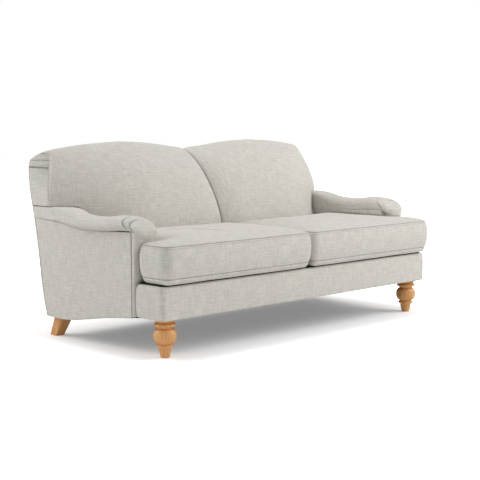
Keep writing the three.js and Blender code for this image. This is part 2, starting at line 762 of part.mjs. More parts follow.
// The space that the two back panels take from the pads behind and at the end
function rearCutter() {
  const up = heights(deckTop - overrun, backPanelTop + clearance);
  const inner = up.map((z) => [frameRear(z), z]);
  const outer = up.map((z) => [rearLine(z) + overrun, z]).reverse();
  return acrossWidth([...inner, ...outer], -overrun, sideHalfWidth + overrun);
}

// Everything under the top line of an arm, from the inner panel outwards
function armCutter() {
  const along = depths(0, halfDepth + overrun).map((y) => [y, rollTop(y) + clearance]);
  const outline = [[halfDepth + overrun, 0], ...along.reverse(), [0, 0]];
  return acrossWidth(outline, innerArmHalfGap - clearance, sideHalfWidth + overrun);
}

// The hollow behind the foam, open to the back
function padHollow() {
  const section = humpSectionShares.filter(([, zShare]) => zShare * overallHeight < padHollowTop);
  const front = section.map(([yShare, zShare]) =>
    [halfDepth * yShare + foamThickness, overallHeight * zShare]);
  const outline = [[front[0][0], deckTop - overrun], ...front,
    [front[front.length - 1][0] + foamThickness / 2, padHollowTop],
    [halfDepth + overrun, padHollowTop], [halfDepth + overrun, deckTop - overrun]];
  return acrossWidth(outline, railThickness, sideHalfWidth - padHollowEnd);
}

function backPad() {
  const rings = humpTopShares.map(([share]) => humpRing(Math.max(sideHalfWidth * share, seamGap / 2)));
  return cut(loft(rings), padHollow(), rearCutter(), armCutter(), backEndPanel(clearance, overrun),
    backPost(clearance), topRail(clearance), lowerRail(clearance), centrePost(clearance));
}

// The boxed end of the back, above the arm. Its face turns inwards towards the front.
function backEndPanel(growth, outward = growth) {
  const bottom = armTopHeight + clearance - growth;
  return loft(heights(bottom, backPanelTop + growth).map((z) => {
    const front = halfDepth * endPanelFrontShare(z / overallHeight);
    const rear = frameRear(z);
    const lean = endLean * endPanelLeanShare(z / overallHeight);
    const face = steps(0, 1, endPanelFacets).map((along) =>
      [sideHalfWidth - lean * (1 - along) ** 2, front + (rear - front) * along]);
    const strip = [[face[0][0], front - growth], ...face, [sideHalfWidth, rear + growth]];
    const outer = strip.map(([x, y]) => [x + outward, y, z]);
    const inner = strip.map(([x, y]) => [x - sidePanelThickness - 2 * growth, y, z]).reverse();
    return growth > 0 ? [...outer, ...inner] : [...outer.slice(1, -1), ...inner.slice(1, -1)];
  }));
}

// The cover stretched over the back of the frame from side to side
function backOuterPanel() {
  const up = heights(lowestZ, backPanelTop);
  const rear = up.map((z) => [rearLine(z), z]);
  const front = up.map((z) => [rearLine(z) - backPanelThickness, z]).reverse();
  return acrossWidth([...rear, ...front], -sideHalfWidth, sideHalfWidth);
}

// A loose seat cushion whose ear comes round the front of the arm
function seatCushion() {
  const earRear = armFrontY - cushionEarClearance;
  const corners = [
    [cushionGap / 2, -halfDepth, cushionCornerRadius * cushionMiddleCornerShare],
    [sideHalfWidth, -halfDepth, cushionCornerRadius],
    [sideHalfWidth, earRear, cushionCornerRadius],
    [innerArmHalfGap - cushionSideGap, earRear, cushionInnerRadius],
    [innerArmHalfGap - cushionSideGap, cushionRearY, cushionCornerRadius * cushionMiddleCornerShare],
    [cushionGap / 2, cushionRearY, cushionCornerRadius * cushionMiddleCornerShare],
  ];
  const outline = rounded(corners, cushionCornerSteps, cushionSideSteps);
  const heart = new THREE.Vector2(sideHalfWidth * cushionHeartShares[0], halfDepth * cushionHeartShares[1]);
  const perCorner = cushionCornerSteps + cushionSideSteps;
  // The rear edge follows the back pads, which recede towards the arms
  const follow = (point) => {
    const reach = Math.max(0, (point.y - earRear) / (cushionRearY - earRear));
    point.y += endSetback * cushionFollowShare * endShare(point.x) * reach ** 2;
    return point;
  };
  const inset = (distance, pinch) => outline.map((point, i) => {
    const next = outline[(i + 1) % outline.length];
    const before = outline[(i + outline.length - 1) % outline.length];
    const along = next.clone().sub(before).normalize();
    const inward = new THREE.Vector2(-along.y, along.x);
    const side = Math.max(0, (i % perCorner) - cushionCornerSteps) / cushionSideSteps;
    return follow(point.clone().addScaledVector(inward, distance + pinch * Math.sin(Math.PI * side)));
  });
  const seam = inset(cushionFrontBulge, cushionPinch);
  const ring = (outer, share, z) => outer.map((point) => {
    const placed = heart.clone().lerp(point, share);
    return [placed.x, placed.y, z];
  });
  const bottom = deckTop + clearance;
  const boxing = cushionUpperSeam - cushionLowerSeam;
  const crown = (share) => cushionUpperSeam
    + cushionCrown * (1 - share ** cushionCrownPower) ** cushionCrownEase;
  const sides = cushionSideTurns.map((degrees) => {
    const turn = THREE.MathUtils.degToRad(degrees);
    const bulge = cushionFrontBulge * (1 - Math.cos(turn));
    const z = cushionLowerSeam + (boxing * (1 + Math.sin(turn))) / 2;
    return ring(inset(bulge, cushionPinch * (1 - Math.cos(turn))), 1, z);
  });
  return loft([
    ring(seam, cushionBottomShares[0], bottom),
    ring(seam, cushionBottomShares[1], bottom),
    ring(seam, cushionBottomShares[2], bottom + (cushionLowerSeam - bottom) / 2),
    ring(seam, 1, cushionLowerSeam),
    ...sides,
    ring(seam, 1, cushionUpperSeam),
    ...cushionTopShares.map((share) => ring(seam, share, crown(share))),
  ]);
}

// A rounded member of a turning: radius and height round half an oval
function member(rootRadius, peakRadius, middle, halfHeight, count = turningSteps) {
  return steps(-Math.PI / 2, Math.PI / 2, count).map((turn) => new THREE.Vector2(
    rootRadius + (peakRadius - rootRadius) * Math.cos(turn),
    middle + halfHeight * Math.sin(turn)));
}

function turnedFoot() {
  const collarFoot = beadHeight + beadHalfHeight;
  const collarRise = footHeight - collarFoot;
  const cove = steps(0, Math.PI / 2, turningSteps / 2).map((turn) => new THREE.Vector2(
    collarRadius - (collarRadius - neckRadius) * Math.cos(turn) * coveShare,
    collarFoot + collarRise * collarCoveShare * Math.sin(turn)));
  const profile = [
    new THREE.Vector2(0, 0),
    new THREE.Vector2(stemBottomRadius - stemRound, 0),
    new THREE.Vector2(stemBottomRadius, stemRound),
    new THREE.Vector2(stemTopRadius, ringHeight - ringHalfHeight * 2),
    ...member(stemTopRadius, ringRadius, ringHeight, ringHalfHeight),
    ...member(waistRadius, ballRadius, ballHeight, ballHalfHeight, ballSteps),
    new THREE.Vector2(neckRadius, neckHeight),
    ...member(neckRadius, beadRadius, beadHeight, beadHalfHeight),
    ...cove,
    new THREE.Vector2(collarRadius, footHeight),
    new THREE.Vector2(0, footHeight),
  ];
  return new THREE.LatheGeometry(profile, footSides).rotateX(Math.PI / 2);
}

function rearFoot() {
  const height = lowestZ - clearance;
  const square = (outer, front, size, z) => rounded([
    [outer - size, front, rearFootEdgeCut],
    [outer, front, rearFootEdgeCut],
    [outer, front + size, rearFootEdgeCut],
    [outer - size, front + size, rearFootEdgeCut],
  ], 1).map((p) => [p.x, p.y, z]);
  return loft([
    square(rearFootOuterX, rearFootBottomFrontY, rearFootBottomWidth, 0),
    square(rearFootOuterX, rearFootTopFrontY, rearFootTopWidth, height),
  ]);
}

// A bolt with its nut on top of a block, down into the foot. Its origin is the block's underside.
function footBolt(blockHeight) {
  const profile = [
    [0, -boltDepth], [boltRadius, -boltDepth], [boltRadius, blockHeight + clearance],
    [nutRadius, blockHeight + clearance], [nutRadius, blockHeight + clearance + nutHeight],
    [0, blockHeight + clearance + nutHeight],
  ].map(([radius, height]) => new THREE.Vector2(radius, height));
  return new THREE.LatheGeometry(profile, boltSides).rotateX(Math.PI / 2);
}

function boltHole(x, y, z, blockHeight) {
  const radius = boltRadius + clearance;
  const length = boltDepth + blockHeight + overrun;
  return new THREE.CylinderGeometry(radius, radius, length, boltSides)
    .rotateX(Math.PI / 2)
    .translate(x, y, z - boltDepth - clearance + length / 2);
}

const sofa = new THREE.Group();

function place(name, geometry, material, x = 0, y = 0, z = 0) {
  const mesh = new THREE.Mesh(geometry, material.clone());
  mesh.name = name;
  mesh.position.set(x, y, z);
  sofa.add(mesh);
}

function placePair(name, geometry, material, x = 0, y = 0, z = 0) {
  place(`${name}_right`, geometry, material, x, y, z);
  place(`${name}_left`, mirrored(geometry), material, -x, y, z);
}

place('front_rail', frontRail(), timber);
place('rear_rail', rearRail(), timber);
place('cross_rail', crossRail(), timber);
placePair('side_rail', sideRail(), timber);
placePair('ear_block', earBlock(0), timber);
placePair('arm_post', armPost(0), timber);
placePair('arm_rail', armRail(0), timber);
placePair('arm_tack_rail', tackRail(), timber);
placePair('back_post', cut(backPost(0), backEndPanel(clearance, overrun)), timber);
place('back_centre_post', centrePost(0), timber);
place('back_top_rail', topRail(0), timber);
place('back_lower_rail', lowerRail(0), timber);

const rearBoltX = betweenPostsX - rearBoltInsetX;
const rearBoltY = frameRear(lowestZ) - railThickness - clearance - rearBoltInsetY;
placePair('front_corner_block',
  cut(frontBlock(), boltHole(frontFootX, frontFootY, baseBottom, frontBlockHeight)), timber);
placePair('rear_corner_block',
  cut(rearBlock(), boltHole(rearBoltX, rearBoltY, lowestZ, rearBlockHeight)), timber);

place('spring_strip_front', springStrip(frontStripY, 1), steel);
place('spring_strip_rear', springStrip(rearStripY, -1), steel);
const spring = seatSpring();
const springField = betweenPostsX * springFieldShare;
steps(-springField, springField, springCount - 1).forEach((x, i) => {
  place(`seat_spring_${i + 1}`, spring, steel, x);
});

place('seat_deck', seatDeck(), lining);
place('seat_border', seatBorder(), linen);
place('dust_cover', dustCover(), lining);
placePair('outer_arm_panel', outerArmPanel(), linen);
placePair('inner_arm_panel', innerArmPanel(), linen);
placePair('arm_roll', armRoll(), linen);
placePair('arm_facing', armFacing(), linen);
placePair('back_pad', backPad(), linen);
placePair('back_end_panel', backEndPanel(0), linen);
place('back_outer_panel', backOuterPanel(), linen);
placePair('seat_cushion', seatCushion(), linen);

placePair('front_foot', cut(turnedFoot(), boltHole(0, 0, baseBottom, frontBlockHeight)),
  footTimber, frontFootX, frontFootY);
placePair('rear_foot', cut(rearFoot(), boltHole(rearBoltX, rearBoltY, lowestZ, rearBlockHeight)), footTimber);
placePair('front_foot_bolt', footBolt(frontBlockHeight), steel, frontFootX, frontFootY, baseBottom);
placePair('rear_foot_bolt', footBolt(rearBlockHeight), steel, rearBoltX, rearBoltY, lowestZ);

export default sofa;
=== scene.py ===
import math

import bmesh
import bpy
import numpy as np
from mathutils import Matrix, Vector, noise
from mathutils.bvhtree import BVHTree


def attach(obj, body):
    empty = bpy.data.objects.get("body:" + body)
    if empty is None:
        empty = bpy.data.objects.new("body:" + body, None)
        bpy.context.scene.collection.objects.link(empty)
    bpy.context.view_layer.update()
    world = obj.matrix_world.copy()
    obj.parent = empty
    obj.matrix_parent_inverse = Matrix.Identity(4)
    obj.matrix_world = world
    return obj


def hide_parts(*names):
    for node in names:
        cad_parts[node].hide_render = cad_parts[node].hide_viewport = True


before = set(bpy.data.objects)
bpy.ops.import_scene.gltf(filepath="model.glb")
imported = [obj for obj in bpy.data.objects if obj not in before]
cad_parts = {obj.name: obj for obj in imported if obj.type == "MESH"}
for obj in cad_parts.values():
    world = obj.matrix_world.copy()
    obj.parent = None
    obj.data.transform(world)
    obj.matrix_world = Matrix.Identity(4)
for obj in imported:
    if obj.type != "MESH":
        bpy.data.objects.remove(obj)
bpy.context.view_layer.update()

MM = 0.001

# The picture. The sofa stands on a plain white floor in soft light from a broad lamp overhead
# and one at each side, and is seen from its left front corner a little above the seat.


def added(name, data):
    """A new object in the scene, made of the data."""
    made = bpy.data.objects.new(name, data)
    bpy.context.scene.collection.objects.link(made)
    return made


camera_data = bpy.data.cameras.new("camera")
camera_data.sensor_width = 36.0
camera_data.lens = 84.147
camera_data.clip_end = 60.0
camera = added("camera", camera_data)
camera.location = (-3.8878, -3.9661, 1.0025)
camera.rotation_euler = (math.radians(90 - 6.089), 0, math.radians(-44.398))
bpy.context.scene.camera = camera
bpy.context.scene.view_settings.view_transform = "Standard"

SKY_STRENGTH = 0.54
# Each lamp's place, the point that it faces, its size and its power
LAMPS = {"overhead": ((0, -0.1, 3.4), (0, 0, 0), 3.0, 12.0),
         "right": ((3.2, -3.2, 3.3), (0, 0, 0.5), 3.0, 140.0),
         "left": ((-3.2, 3.2, 3.3), (0, 0, 0.5), 3.0, 106.0)}
for name, (place, aim, size, power) in LAMPS.items():
    lamp = bpy.data.lights.new(name, "AREA")
    lamp.size = size
    lamp.energy = power
    holder = added(name, lamp)
    holder.location = place
    holder.rotation_euler = (Vector(aim) - Vector(place)).to_track_quat("-Z", "Y").to_euler()


def linked(tree, kind, *feeds, **settings):
    """A node with its settings, whose numbered or named inputs take the given values or sockets."""
    node = tree.nodes.new(kind)
    for key, value in settings.items():
        setattr(node, key, value)
    for socket, value in feeds:
        if isinstance(value, bpy.types.NodeSocket):
            tree.links.new(value, node.inputs[socket])
        else:
            node.inputs[socket].default_value = value
    return node


VECTORS = "ShaderNodeVectorMath"


def maths(tree, operation, *values, kind="ShaderNodeMath"):
    """The result of one operation on numbers, or on vectors where the kind says so."""
    return linked(tree, kind, *enumerate(values), operation=operation).outputs[0]


def ranged(tree, value, taken, given=(0, 1), **settings):
    """A value carried from the range that is taken to the range that is given."""
    return linked(tree, "ShaderNodeMapRange", ("Value", value), ("From Min", taken[0]),
                  ("From Max", taken[1]), ("To Min", given[0]), ("To Max", given[1]), **settings).outputs[0]


world = bpy.data.worlds.new("studio")
bpy.context.scene.world = world
world.use_nodes = True
tree = world.node_tree
tree.nodes.clear()
ray = linked(tree, "ShaderNodeLightPath").outputs
mirrored = maths(tree, "MAXIMUM", ray["Is Glossy Ray"], ray["Is Transmission Ray"])
strength = ranged(tree, maths(tree, "MAXIMUM", ray["Is Camera Ray"], mirrored), (0, 1), (SKY_STRENGTH, 1))
sky = linked(tree, "ShaderNodeBackground", ("Color", (1, 1, 1, 1)), ("Strength", strength))
linked(tree, "ShaderNodeOutputWorld", ("Surface", sky.outputs[0]))

# The camera sees the floor lifted a little where the sofa shades it, and to white away from it
FLOOR_WHITE = 0.95
FLOOR_LIFT = 0.22
FLOOR_SHADED = (0.9, 0.47, 1)
FLOOR_FADE = 0.3
bpy.ops.mesh.primitive_plane_add(size=40.0, location=(0, 0, 0))
floor = bpy.context.object
floor.name = "floor"
floor_finish = bpy.data.materials.new("floor_white")
floor_finish.use_nodes = True
tree = floor_finish.node_tree
tree.nodes.clear()
place = linked(tree, "ShaderNodeTexCoord").outputs["Object"]
past = maths(tree, "SUBTRACT", maths(tree, "ABSOLUTE", place, kind=VECTORS), FLOOR_SHADED, kind=VECTORS)
past = maths(tree, "MAXIMUM", past, (0, 0, 0), kind=VECTORS)
away = linked(tree, VECTORS, (0, past), operation="LENGTH").outputs["Value"]
rise = ranged(tree, away, (0, FLOOR_FADE), (FLOOR_LIFT, 1), interpolation_type="SMOOTHSTEP")
seen = linked(tree, "ShaderNodeLightPath").outputs["Is Camera Ray"]
glow = linked(tree, "ShaderNodeEmission", ("Strength", maths(tree, "MULTIPLY", seen, rise)))
paint = linked(tree, "ShaderNodeBsdfDiffuse", ("Color", (FLOOR_WHITE, FLOOR_WHITE, FLOOR_WHITE, 1)))
lit = linked(tree, "ShaderNodeAddShader", (0, paint.outputs[0]), (1, glow.outputs[0]))
linked(tree, "ShaderNodeOutputMaterial", ("Surface", lit.outputs[0]))
floor.data.materials.append(floor_finish)

# The timber frame. Planed beech rails and posts, glued and screwed, with sawn arm rails and
# a top rail sawn to the two humps. The covers hide all of it.


def new_group(name, inputs):
    """A shader group that gives colour, roughness and height; with it, its inputs and its output."""
    group = bpy.data.node_groups.new(name, "ShaderNodeTree")
    for label, kind, value in inputs:
        socket = group.interface.new_socket(label, in_out="INPUT", socket_type=kind)
        if value is not None:
            socket.default_value = value
    for label, kind in (("Color", "NodeSocketColor"), ("Roughness", "NodeSocketFloat"),
                        ("Height", "NodeSocketFloat")):
        group.interface.new_socket(label, in_out="OUTPUT", socket_type=kind)
    return group, group.nodes.new("NodeGroupInput").outputs, group.nodes.new("NodeGroupOutput").inputs


FIGURE_SCALE = 14.0
RING_SCALE = 26.0
PORE_SCALE = 900.0
PORE_DEPTH = 0.0006


def grain_group():
    """Wood grain that runs along Z of the place that it is given: long figure and fine pores."""
    group, given, out = new_group("wood_grain", [("Place", "NodeSocketVector", None),
                                                 ("Light", "NodeSocketColor", (0.6, 0.4, 0.2, 1)),
                                                 ("Dark", "NodeSocketColor", (0.4, 0.2, 0.1, 1))])
    long_way = maths(group, "MULTIPLY", given["Place"], (1, 1, 0.12), kind=VECTORS)
    figure = linked(group, "ShaderNodeTexNoise", ("Vector", long_way), ("Scale", FIGURE_SCALE),
                    ("Detail", 3.0), ("Roughness", 0.5), ("Distortion", 0.6)).outputs["Fac"]
    rings = linked(group, "ShaderNodeTexWave", ("Vector", long_way), ("Scale", RING_SCALE),
                   ("Distortion", 5.0), ("Detail", 2.0), ("Detail Scale", 1.6), wave_type="RINGS",
                   rings_direction="Y").outputs["Fac"]
    pores_way = maths(group, "MULTIPLY", given["Place"], (1, 1, 0.05), kind=VECTORS)
    pores = linked(group, "ShaderNodeTexNoise", ("Vector", pores_way), ("Scale", PORE_SCALE),
                   ("Detail", 2.0)).outputs["Fac"]
    blend = linked(group, "ShaderNodeMix", (0, 0.35), (2, figure), (3, rings)).outputs[0]
    colour = linked(group, "ShaderNodeMix", (0, ranged(group, blend, (0.3, 0.7))), (6, given["Light"]),
                    (7, given["Dark"]), data_type="RGBA").outputs[2]
    darker = linked(group, "ShaderNodeMix", (0, ranged(group, pores, (0.58, 0.72), (0, 0.22))), (6, colour),
                    (7, given["Dark"]), data_type="RGBA").outputs[2]
    group.links.new(darker, out["Color"])
    group.links.new(ranged(group, figure, (0, 1), (0.36, 0.56)), out["Roughness"])
    group.links.new(pores, out["Height"])
    return group


wood_grain = grain_group()


def new_material(name, constants):
    """A material, its nodes, and its shader with constant values set."""
    made = bpy.data.materials.new(name)
    made.use_nodes = True
    shader = made.node_tree.nodes["Principled BSDF"]
    for label, value in constants.items():
        shader.inputs[label].default_value = value
    return made, made.node_tree, shader


def surfaced(tree, shader, effect, bump, depth):
    """Feeds a shader the effect's colour and roughness, and its height as relief of a depth in metres."""
    relief = linked(tree, "ShaderNodeBump", ("Height", effect["Height"]), ("Strength", bump),
                    ("Distance", depth))
    tree.links.new(effect["Color"], shader.inputs["Base Color"])
    tree.links.new(effect["Roughness"], shader.inputs["Roughness"])
    tree.links.new(relief.outputs[0], shader.inputs["Normal"])


def wood_finish(name, light, dark, turn, bump, coat=0.0):
    """Timber with its grain turned to run along the member."""
    made, tree, shader = new_material(name, {"Coat Weight": coat, "Coat Roughness": 0.3})
    place = linked(tree, "ShaderNodeTexCoord").outputs["Object"]
    turned = linked(tree, "ShaderNodeMapping", ("Vector", place), ("Rotation", turn)).outputs[0]
    grain = linked(tree, "ShaderNodeGroup", ("Place", turned), ("Light", light), ("Dark", dark),
                   node_tree=wood_grain)
    surfaced(tree, shader, grain.outputs, bump, PORE_DEPTH)
    return made


BEECH_LIGHT = (0.62, 0.44, 0.27, 1)
BEECH_DARK = (0.47, 0.30, 0.17, 1)
beech_upright = wood_finish("beech_upright", BEECH_LIGHT, BEECH_DARK, (0, 0, 0), 0.25)
beech_across = wood_finish("beech_across", BEECH_LIGHT, BEECH_DARK, (0, math.pi / 2, 0), 0.25)
beech_deep = wood_finish("beech_deep", BEECH_LIGHT, BEECH_DARK, (math.pi / 2, 0, 0), 0.25)


def refinish(names, finish):
    """Gives CAD nodes that stay in view their finish."""
    for name in names:
        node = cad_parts[name]
        node.data.materials.clear()
        node.data.materials.append(finish)


def both(*names):
    return [f"{name}_{side}" for name in names for side in ("left", "right")]


refinish(["front_rail", "rear_rail", "back_top_rail", "back_lower_rail"], beech_across)
refinish(both("side_rail", "ear_block", "arm_rail", "arm_tack_rail") + ["cross_rail"], beech_deep)
refinish(both("arm_post", "back_post", "front_corner_block", "rear_corner_block") + ["back_centre_post"],
         beech_upright)

# Seat springs and strips. Zigzag springs of drawn steel wire are held at both ends by hooked
# steel strips that are nailed to the front and rear rails.
STEEL_DARK = (0.42, 0.43, 0.45, 1)
STEEL_LIGHT = (0.58, 0.59, 0.61, 1)
drawn_steel, tree, shader = new_material("drawn_steel", {"Metallic": 1.0})
place = linked(tree, "ShaderNodeTexCoord").outputs["Object"]
marks = linked(tree, "ShaderNodeTexNoise", ("Vector", place), ("Scale", 240.0),
               ("Detail", 4.0)).outputs["Fac"]
tint = linked(tree, "ShaderNodeMix", (0, marks), (6, STEEL_DARK), (7, STEEL_LIGHT),
              data_type="RGBA").outputs[2]
rough = ranged(tree, marks, (0, 1), (0.25, 0.5))
surfaced(tree, shader, {"Color": tint, "Roughness": rough, "Height": marks}, 0.2, 0.0003)
refinish(["spring_strip_front", "spring_strip_rear"] + [f"seat_spring_{n}" for n in range(1, 9)], drawn_steel)

# Border round the base. Woven linen over a layer of wadding, wrapped round the front rail and the
# two ears of the frame, with softly rounded corners and a full top edge.
LINEN = (0.668, 0.643, 0.588, 1)
LINEN_RELIEF = 0.0011
THREAD_PITCH = 0.0016
THREAD_WANDER = 0.0011
THREAD_SHARE = 0.3


def weave_group():
    """Plain woven cloth laid out flat in metres: warp and weft slubs, threads and soft mottling."""
    group, given, out = new_group("plain_weave", [("Cloth", "NodeSocketVector", None),
                                                  ("Color", "NodeSocketColor", (0.6, 0.6, 0.6, 1)),
                                                  ("Seam", "NodeSocketFloat", 0.0),
                                                  ("Slub", "NodeSocketFloat", 1.0)])

    def streaks(stretch, scale, detail):
        laid = maths(group, "MULTIPLY", given["Cloth"], stretch, kind=VECTORS)
        return linked(group, "ShaderNodeTexNoise", ("Vector", laid), ("Scale", scale), ("Detail", detail),
                      ("Roughness", 0.6)).outputs["Fac"]

    def mixed(a, b, share):
        return linked(group, "ShaderNodeMix", (0, share), (2, a), (3, b)).outputs[0]

    def threads(along, across):
        moved = maths(group, "ADD", along, maths(group, "MULTIPLY", across, THREAD_WANDER))
        wave = maths(group, "SINE", maths(group, "MULTIPLY", moved, 2 * math.pi / THREAD_PITCH))
        return maths(group, "ABSOLUTE", wave)

    warp = streaks((1, 0.1, 1), 165.0, 3.0)
    weft = streaks((0.1, 1, 1), 155.0, 3.0)
    slubs = mixed(mixed(warp, weft, 0.5), streaks((0.5, 1, 1), 60.0, 2.0), 0.08)
    split = linked(group, "ShaderNodeSeparateXYZ", (0, given["Cloth"])).outputs
    knit = maths(group, "MULTIPLY", threads(split["X"], weft), threads(split["Y"], warp))
    factor = mixed(1.0, ranged(group, slubs, (0.38, 0.62), (0.85, 1.1)), given["Slub"])
    # The colour is scaled by the mottling, the threads, and the painted shade of seams and pleats, which goes
    # down to 0.45
    for part in (ranged(group, streaks((1, 1, 1), 14.0, 3.0), (0.3, 0.7), (0.985, 1.015)),
                 ranged(group, knit, (0, 1), (0.9, 1.03)), ranged(group, given["Seam"], (0, 1), (1.0, 0.45))):
        factor = maths(group, "MULTIPLY", factor, part)
    shade = linked(group, VECTORS, (0, given["Color"]), ("Scale", factor), operation="SCALE").outputs[0]
    group.links.new(shade, out["Color"])
    group.links.new(ranged(group, slubs, (0.3, 0.7), (0.95, 0.82)), out["Roughness"])
    group.links.new(mixed(slubs, knit, THREAD_SHARE), out["Height"])
    return group


plain_weave = weave_group()


def cloth_finish(name, colour, slub, relief_depth, own_map=True, sheen=0.0):
    """Woven cloth, laid by the piece's own cloth map with painted shade along its seams and pleats, or laid
    by its place.
    """
    made, tree, shader = new_material(name, {"Sheen Weight": sheen, "Sheen Roughness": 0.5,
                                             "Specular IOR Level": 0.25})
    if own_map:
        laid = linked(tree, "ShaderNodeUVMap", uv_map="cloth").outputs[0]
        # The seam attribute holds how much painted shade lies on each point
        seam = linked(tree, "ShaderNodeAttribute", attribute_name="seam").outputs["Fac"]
    else:
        laid, seam = linked(tree, "ShaderNodeTexCoord").outputs["Object"], 0.0
    weave = linked(tree, "ShaderNodeGroup", ("Cloth", laid), ("Color", colour), ("Seam", seam),
                   ("Slub", slub), node_tree=plain_weave)
    surfaced(tree, shader, weave.outputs, 0.6, relief_depth)
    return made


linen = cloth_finish("linen", LINEN, 1.0, LINEN_RELIEF, sheen=0.12)


def placed_mesh(name, points, faces, charts):
    """A new piece from points in millimetres, its faces, and the place on the cloth of each corner."""
    points = np.asarray(points, float) * MM
    thirds = np.array([(f[0], f[i], f[i + 1]) for f in faces for i in range(1, len(f) - 1)])
    a, b, c = (points[thirds[:, n]] for n in range(3))
    if (a * np.cross(b, c)).sum() < 0:
        faces = [f[::-1] for f in faces]
        charts = [c[::-1] for c in charts]
    mesh = bpy.data.meshes.new(name)
    mesh.from_pydata(points.tolist(), [], faces)
    cloth = mesh.uv_layers.new(name="cloth")
    cloth.data.foreach_set("uv", np.array([uv for chart in charts for uv in chart], np.float32).ravel())
    # Each point's painted shade along seams, set where the piece is stitched
    mesh.attributes.new("seam", "FLOAT", "POINT")
    return added(name, mesh)


def between_rings(count, around, chart):
    """The faces between rings of points, and the cloth at each corner, which the chart tells."""
    faces, charts = [], []
    for r in range(count - 1):
        for i in range(around):
            corners = ((r, i), (r, i + 1), (r + 1, i + 1), (r + 1, i))
            faces.append([ring * around + at % around for ring, at in corners])
            charts.append([chart(r, ring, at) for ring, at in corners])
    return faces, charts


def skin(name, rings):
    """A cover over rings of equally many points, in millimetres, closed flat at both ends."""
    rings = np.asarray(rings, float)
    count, around = rings.shape[:2]
    flat = rings.reshape(-1, 3)
    along = np.concatenate([[0], np.cumsum(np.linalg.norm(np.diff(rings, axis=0), axis=2).mean(axis=1))])
    wrapped = np.concatenate([rings, rings[:, :1]], axis=1)
    girth = np.linalg.norm(np.diff(wrapped, axis=1), axis=2)
    round_it = np.concatenate([np.zeros((count, 1)), np.cumsum(girth, axis=1)], axis=1)
    faces, charts = between_rings(
        count, around, lambda r, ring, at: (along[ring] * MM, round_it[ring, at] * MM))
    for r, turn in ((0, -1), (count - 1, 1)):
        kept = sorted(np.argsort(np.ptp(rings[r], axis=0))[1:])
        faces.append([r * around + i for i in range(around)][::turn])
        charts.append([tuple(at[kept] * MM) for at in rings[r]][::turn])
    return placed_mesh(name, flat, faces, charts)


def chosen(piece):
    """Makes the piece the only one selected, and the active one."""
    bpy.ops.object.select_all(action="DESELECT")
    piece.select_set(True)
    bpy.context.view_layer.objects.active = piece


def modified(piece, kind, **settings):
    """Adds a modifier to the piece and applies it."""
    chosen(piece)
    modifier = piece.modifiers.new(kind.lower(), kind)
    for key, value in settings.items():
        setattr(modifier, key, value)
    bpy.ops.object.modifier_apply(modifier=modifier.name)


def read_all(items, field, width, kind=np.float32):
    """One field of all of a mesh's items, as rows of a width."""
    found = np.empty(len(items) * width, kind)
    items.foreach_get(field, found)
    return found.reshape(-1, width)


def places(piece):
    """The piece's points, in millimetres."""
    return read_all(piece.data.vertices, "co", 3).astype(float) / MM


def set_places(piece, points):
    piece.data.vertices.foreach_set("co", (np.asarray(points) * MM).astype(np.float32).ravel())
    piece.data.update()


def normals(piece):
    return read_all(piece.data.vertices, "normal", 3).astype(float)


def settle(piece, size, depth, shift=0.0):
    """Gives the stuffing under a cover its slight lumps, of a size and up to a depth, in millimetres."""
    points, outward = places(piece), normals(piece)
    lumps = np.array([noise.noise(Vector(p) / size + Vector((shift, 0, 0))) for p in points])
    set_places(piece, points + outward * (lumps * depth)[:, None])


def stitch_with_shade(piece, closeness, depth=0.0):
    """Draws the cover in along a seam and paints shade along it: closeness is 1 on the stitches and 0 away
    from them.
    """
    points, outward = places(piece), normals(piece)
    near = closeness(points)
    if depth:
        set_places(piece, points - outward * (near * depth)[:, None])
    # The closeness is kept as the seam's painted shade
    seam = piece.data.attributes["seam"].data
    had = read_all(seam, "value", 1).ravel()
    seam.foreach_set("value", np.maximum(had, near).astype(np.float32))


def twin(piece, shift):
    """The same piece on the left side of the sofa, cut from another part of the cloth."""
    mesh = piece.data.copy()
    mesh.name = piece.name.replace("right", "left")
    other = added(mesh.name, mesh)
    points = places(other)
    points[:, 0] *= -1
    set_places(other, points)
    mesh.flip_normals()
    cloth = mesh.uv_layers["cloth"].data
    cloth.foreach_set("uv", read_all(cloth, "uv", 2).ravel() + shift)
    return other


def dress(piece, finish, body, node):
    """Gives a piece its finish and its place in the assembly."""
    piece.data.materials.clear()
    piece.data.materials.append(finish)
    piece.data.polygons.foreach_set("use_smooth", [True] * len(piece.data.polygons))
    piece.data.update()
    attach(piece, body)
    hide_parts(node)


def upholster(piece, node, body="sofa"):
    """Finishes a linen cover."""
    dress(piece, linen, body, node)


def upholster_both(cover, node, shift, body="sofa"):
    """Finishes a cover of the right side and its twin on the left."""
    for piece, side in ((cover, "right"), (twin(cover, shift), "left")):
        upholster(piece, f"{node}_{side}", body.format(side))


BORDER_HALF_WIDTH = 904.0
BORDER_FRONT = -460.0
BORDER_END = -282.5
BORDER_CORNER = 24.0
BORDER_SECTION = [(20, 167.2), (12, 167), (5, 167.4), (1.6, 169.2), (0.3, 173), (-0.8, 190), (-1.6, 215),
                  (-2.0, 240), (-2.0, 265), (-1.4, 285), (-0.2, 298), (1.6, 305), (4.6, 309.6), (9, 311.7),
                  (14, 312.2), (20, 312)]


def border_path():
    """Places and outward directions along the border, from the left ear's end to the right one's."""
    reach, straight = BORDER_HALF_WIDTH - BORDER_CORNER, BORDER_FRONT + BORDER_CORNER
    left = [((-BORDER_HALF_WIDTH, y), (-1, 0)) for y in np.linspace(BORDER_END, straight, 9)[:-1]]
    for turn in np.linspace(0, math.pi / 2, 11):
        out = (-math.cos(turn), -math.sin(turn))
        left.append(((-reach + BORDER_CORNER * out[0], straight + BORDER_CORNER * out[1]), out))
    front = [((x, BORDER_FRONT), (0, -1)) for x in np.linspace(-reach, reach, 62)[1:-1]]
    right = [((-x, y), (-out_x, out_y)) for (x, y), (out_x, out_y) in left[::-1]]
    return left + front + right


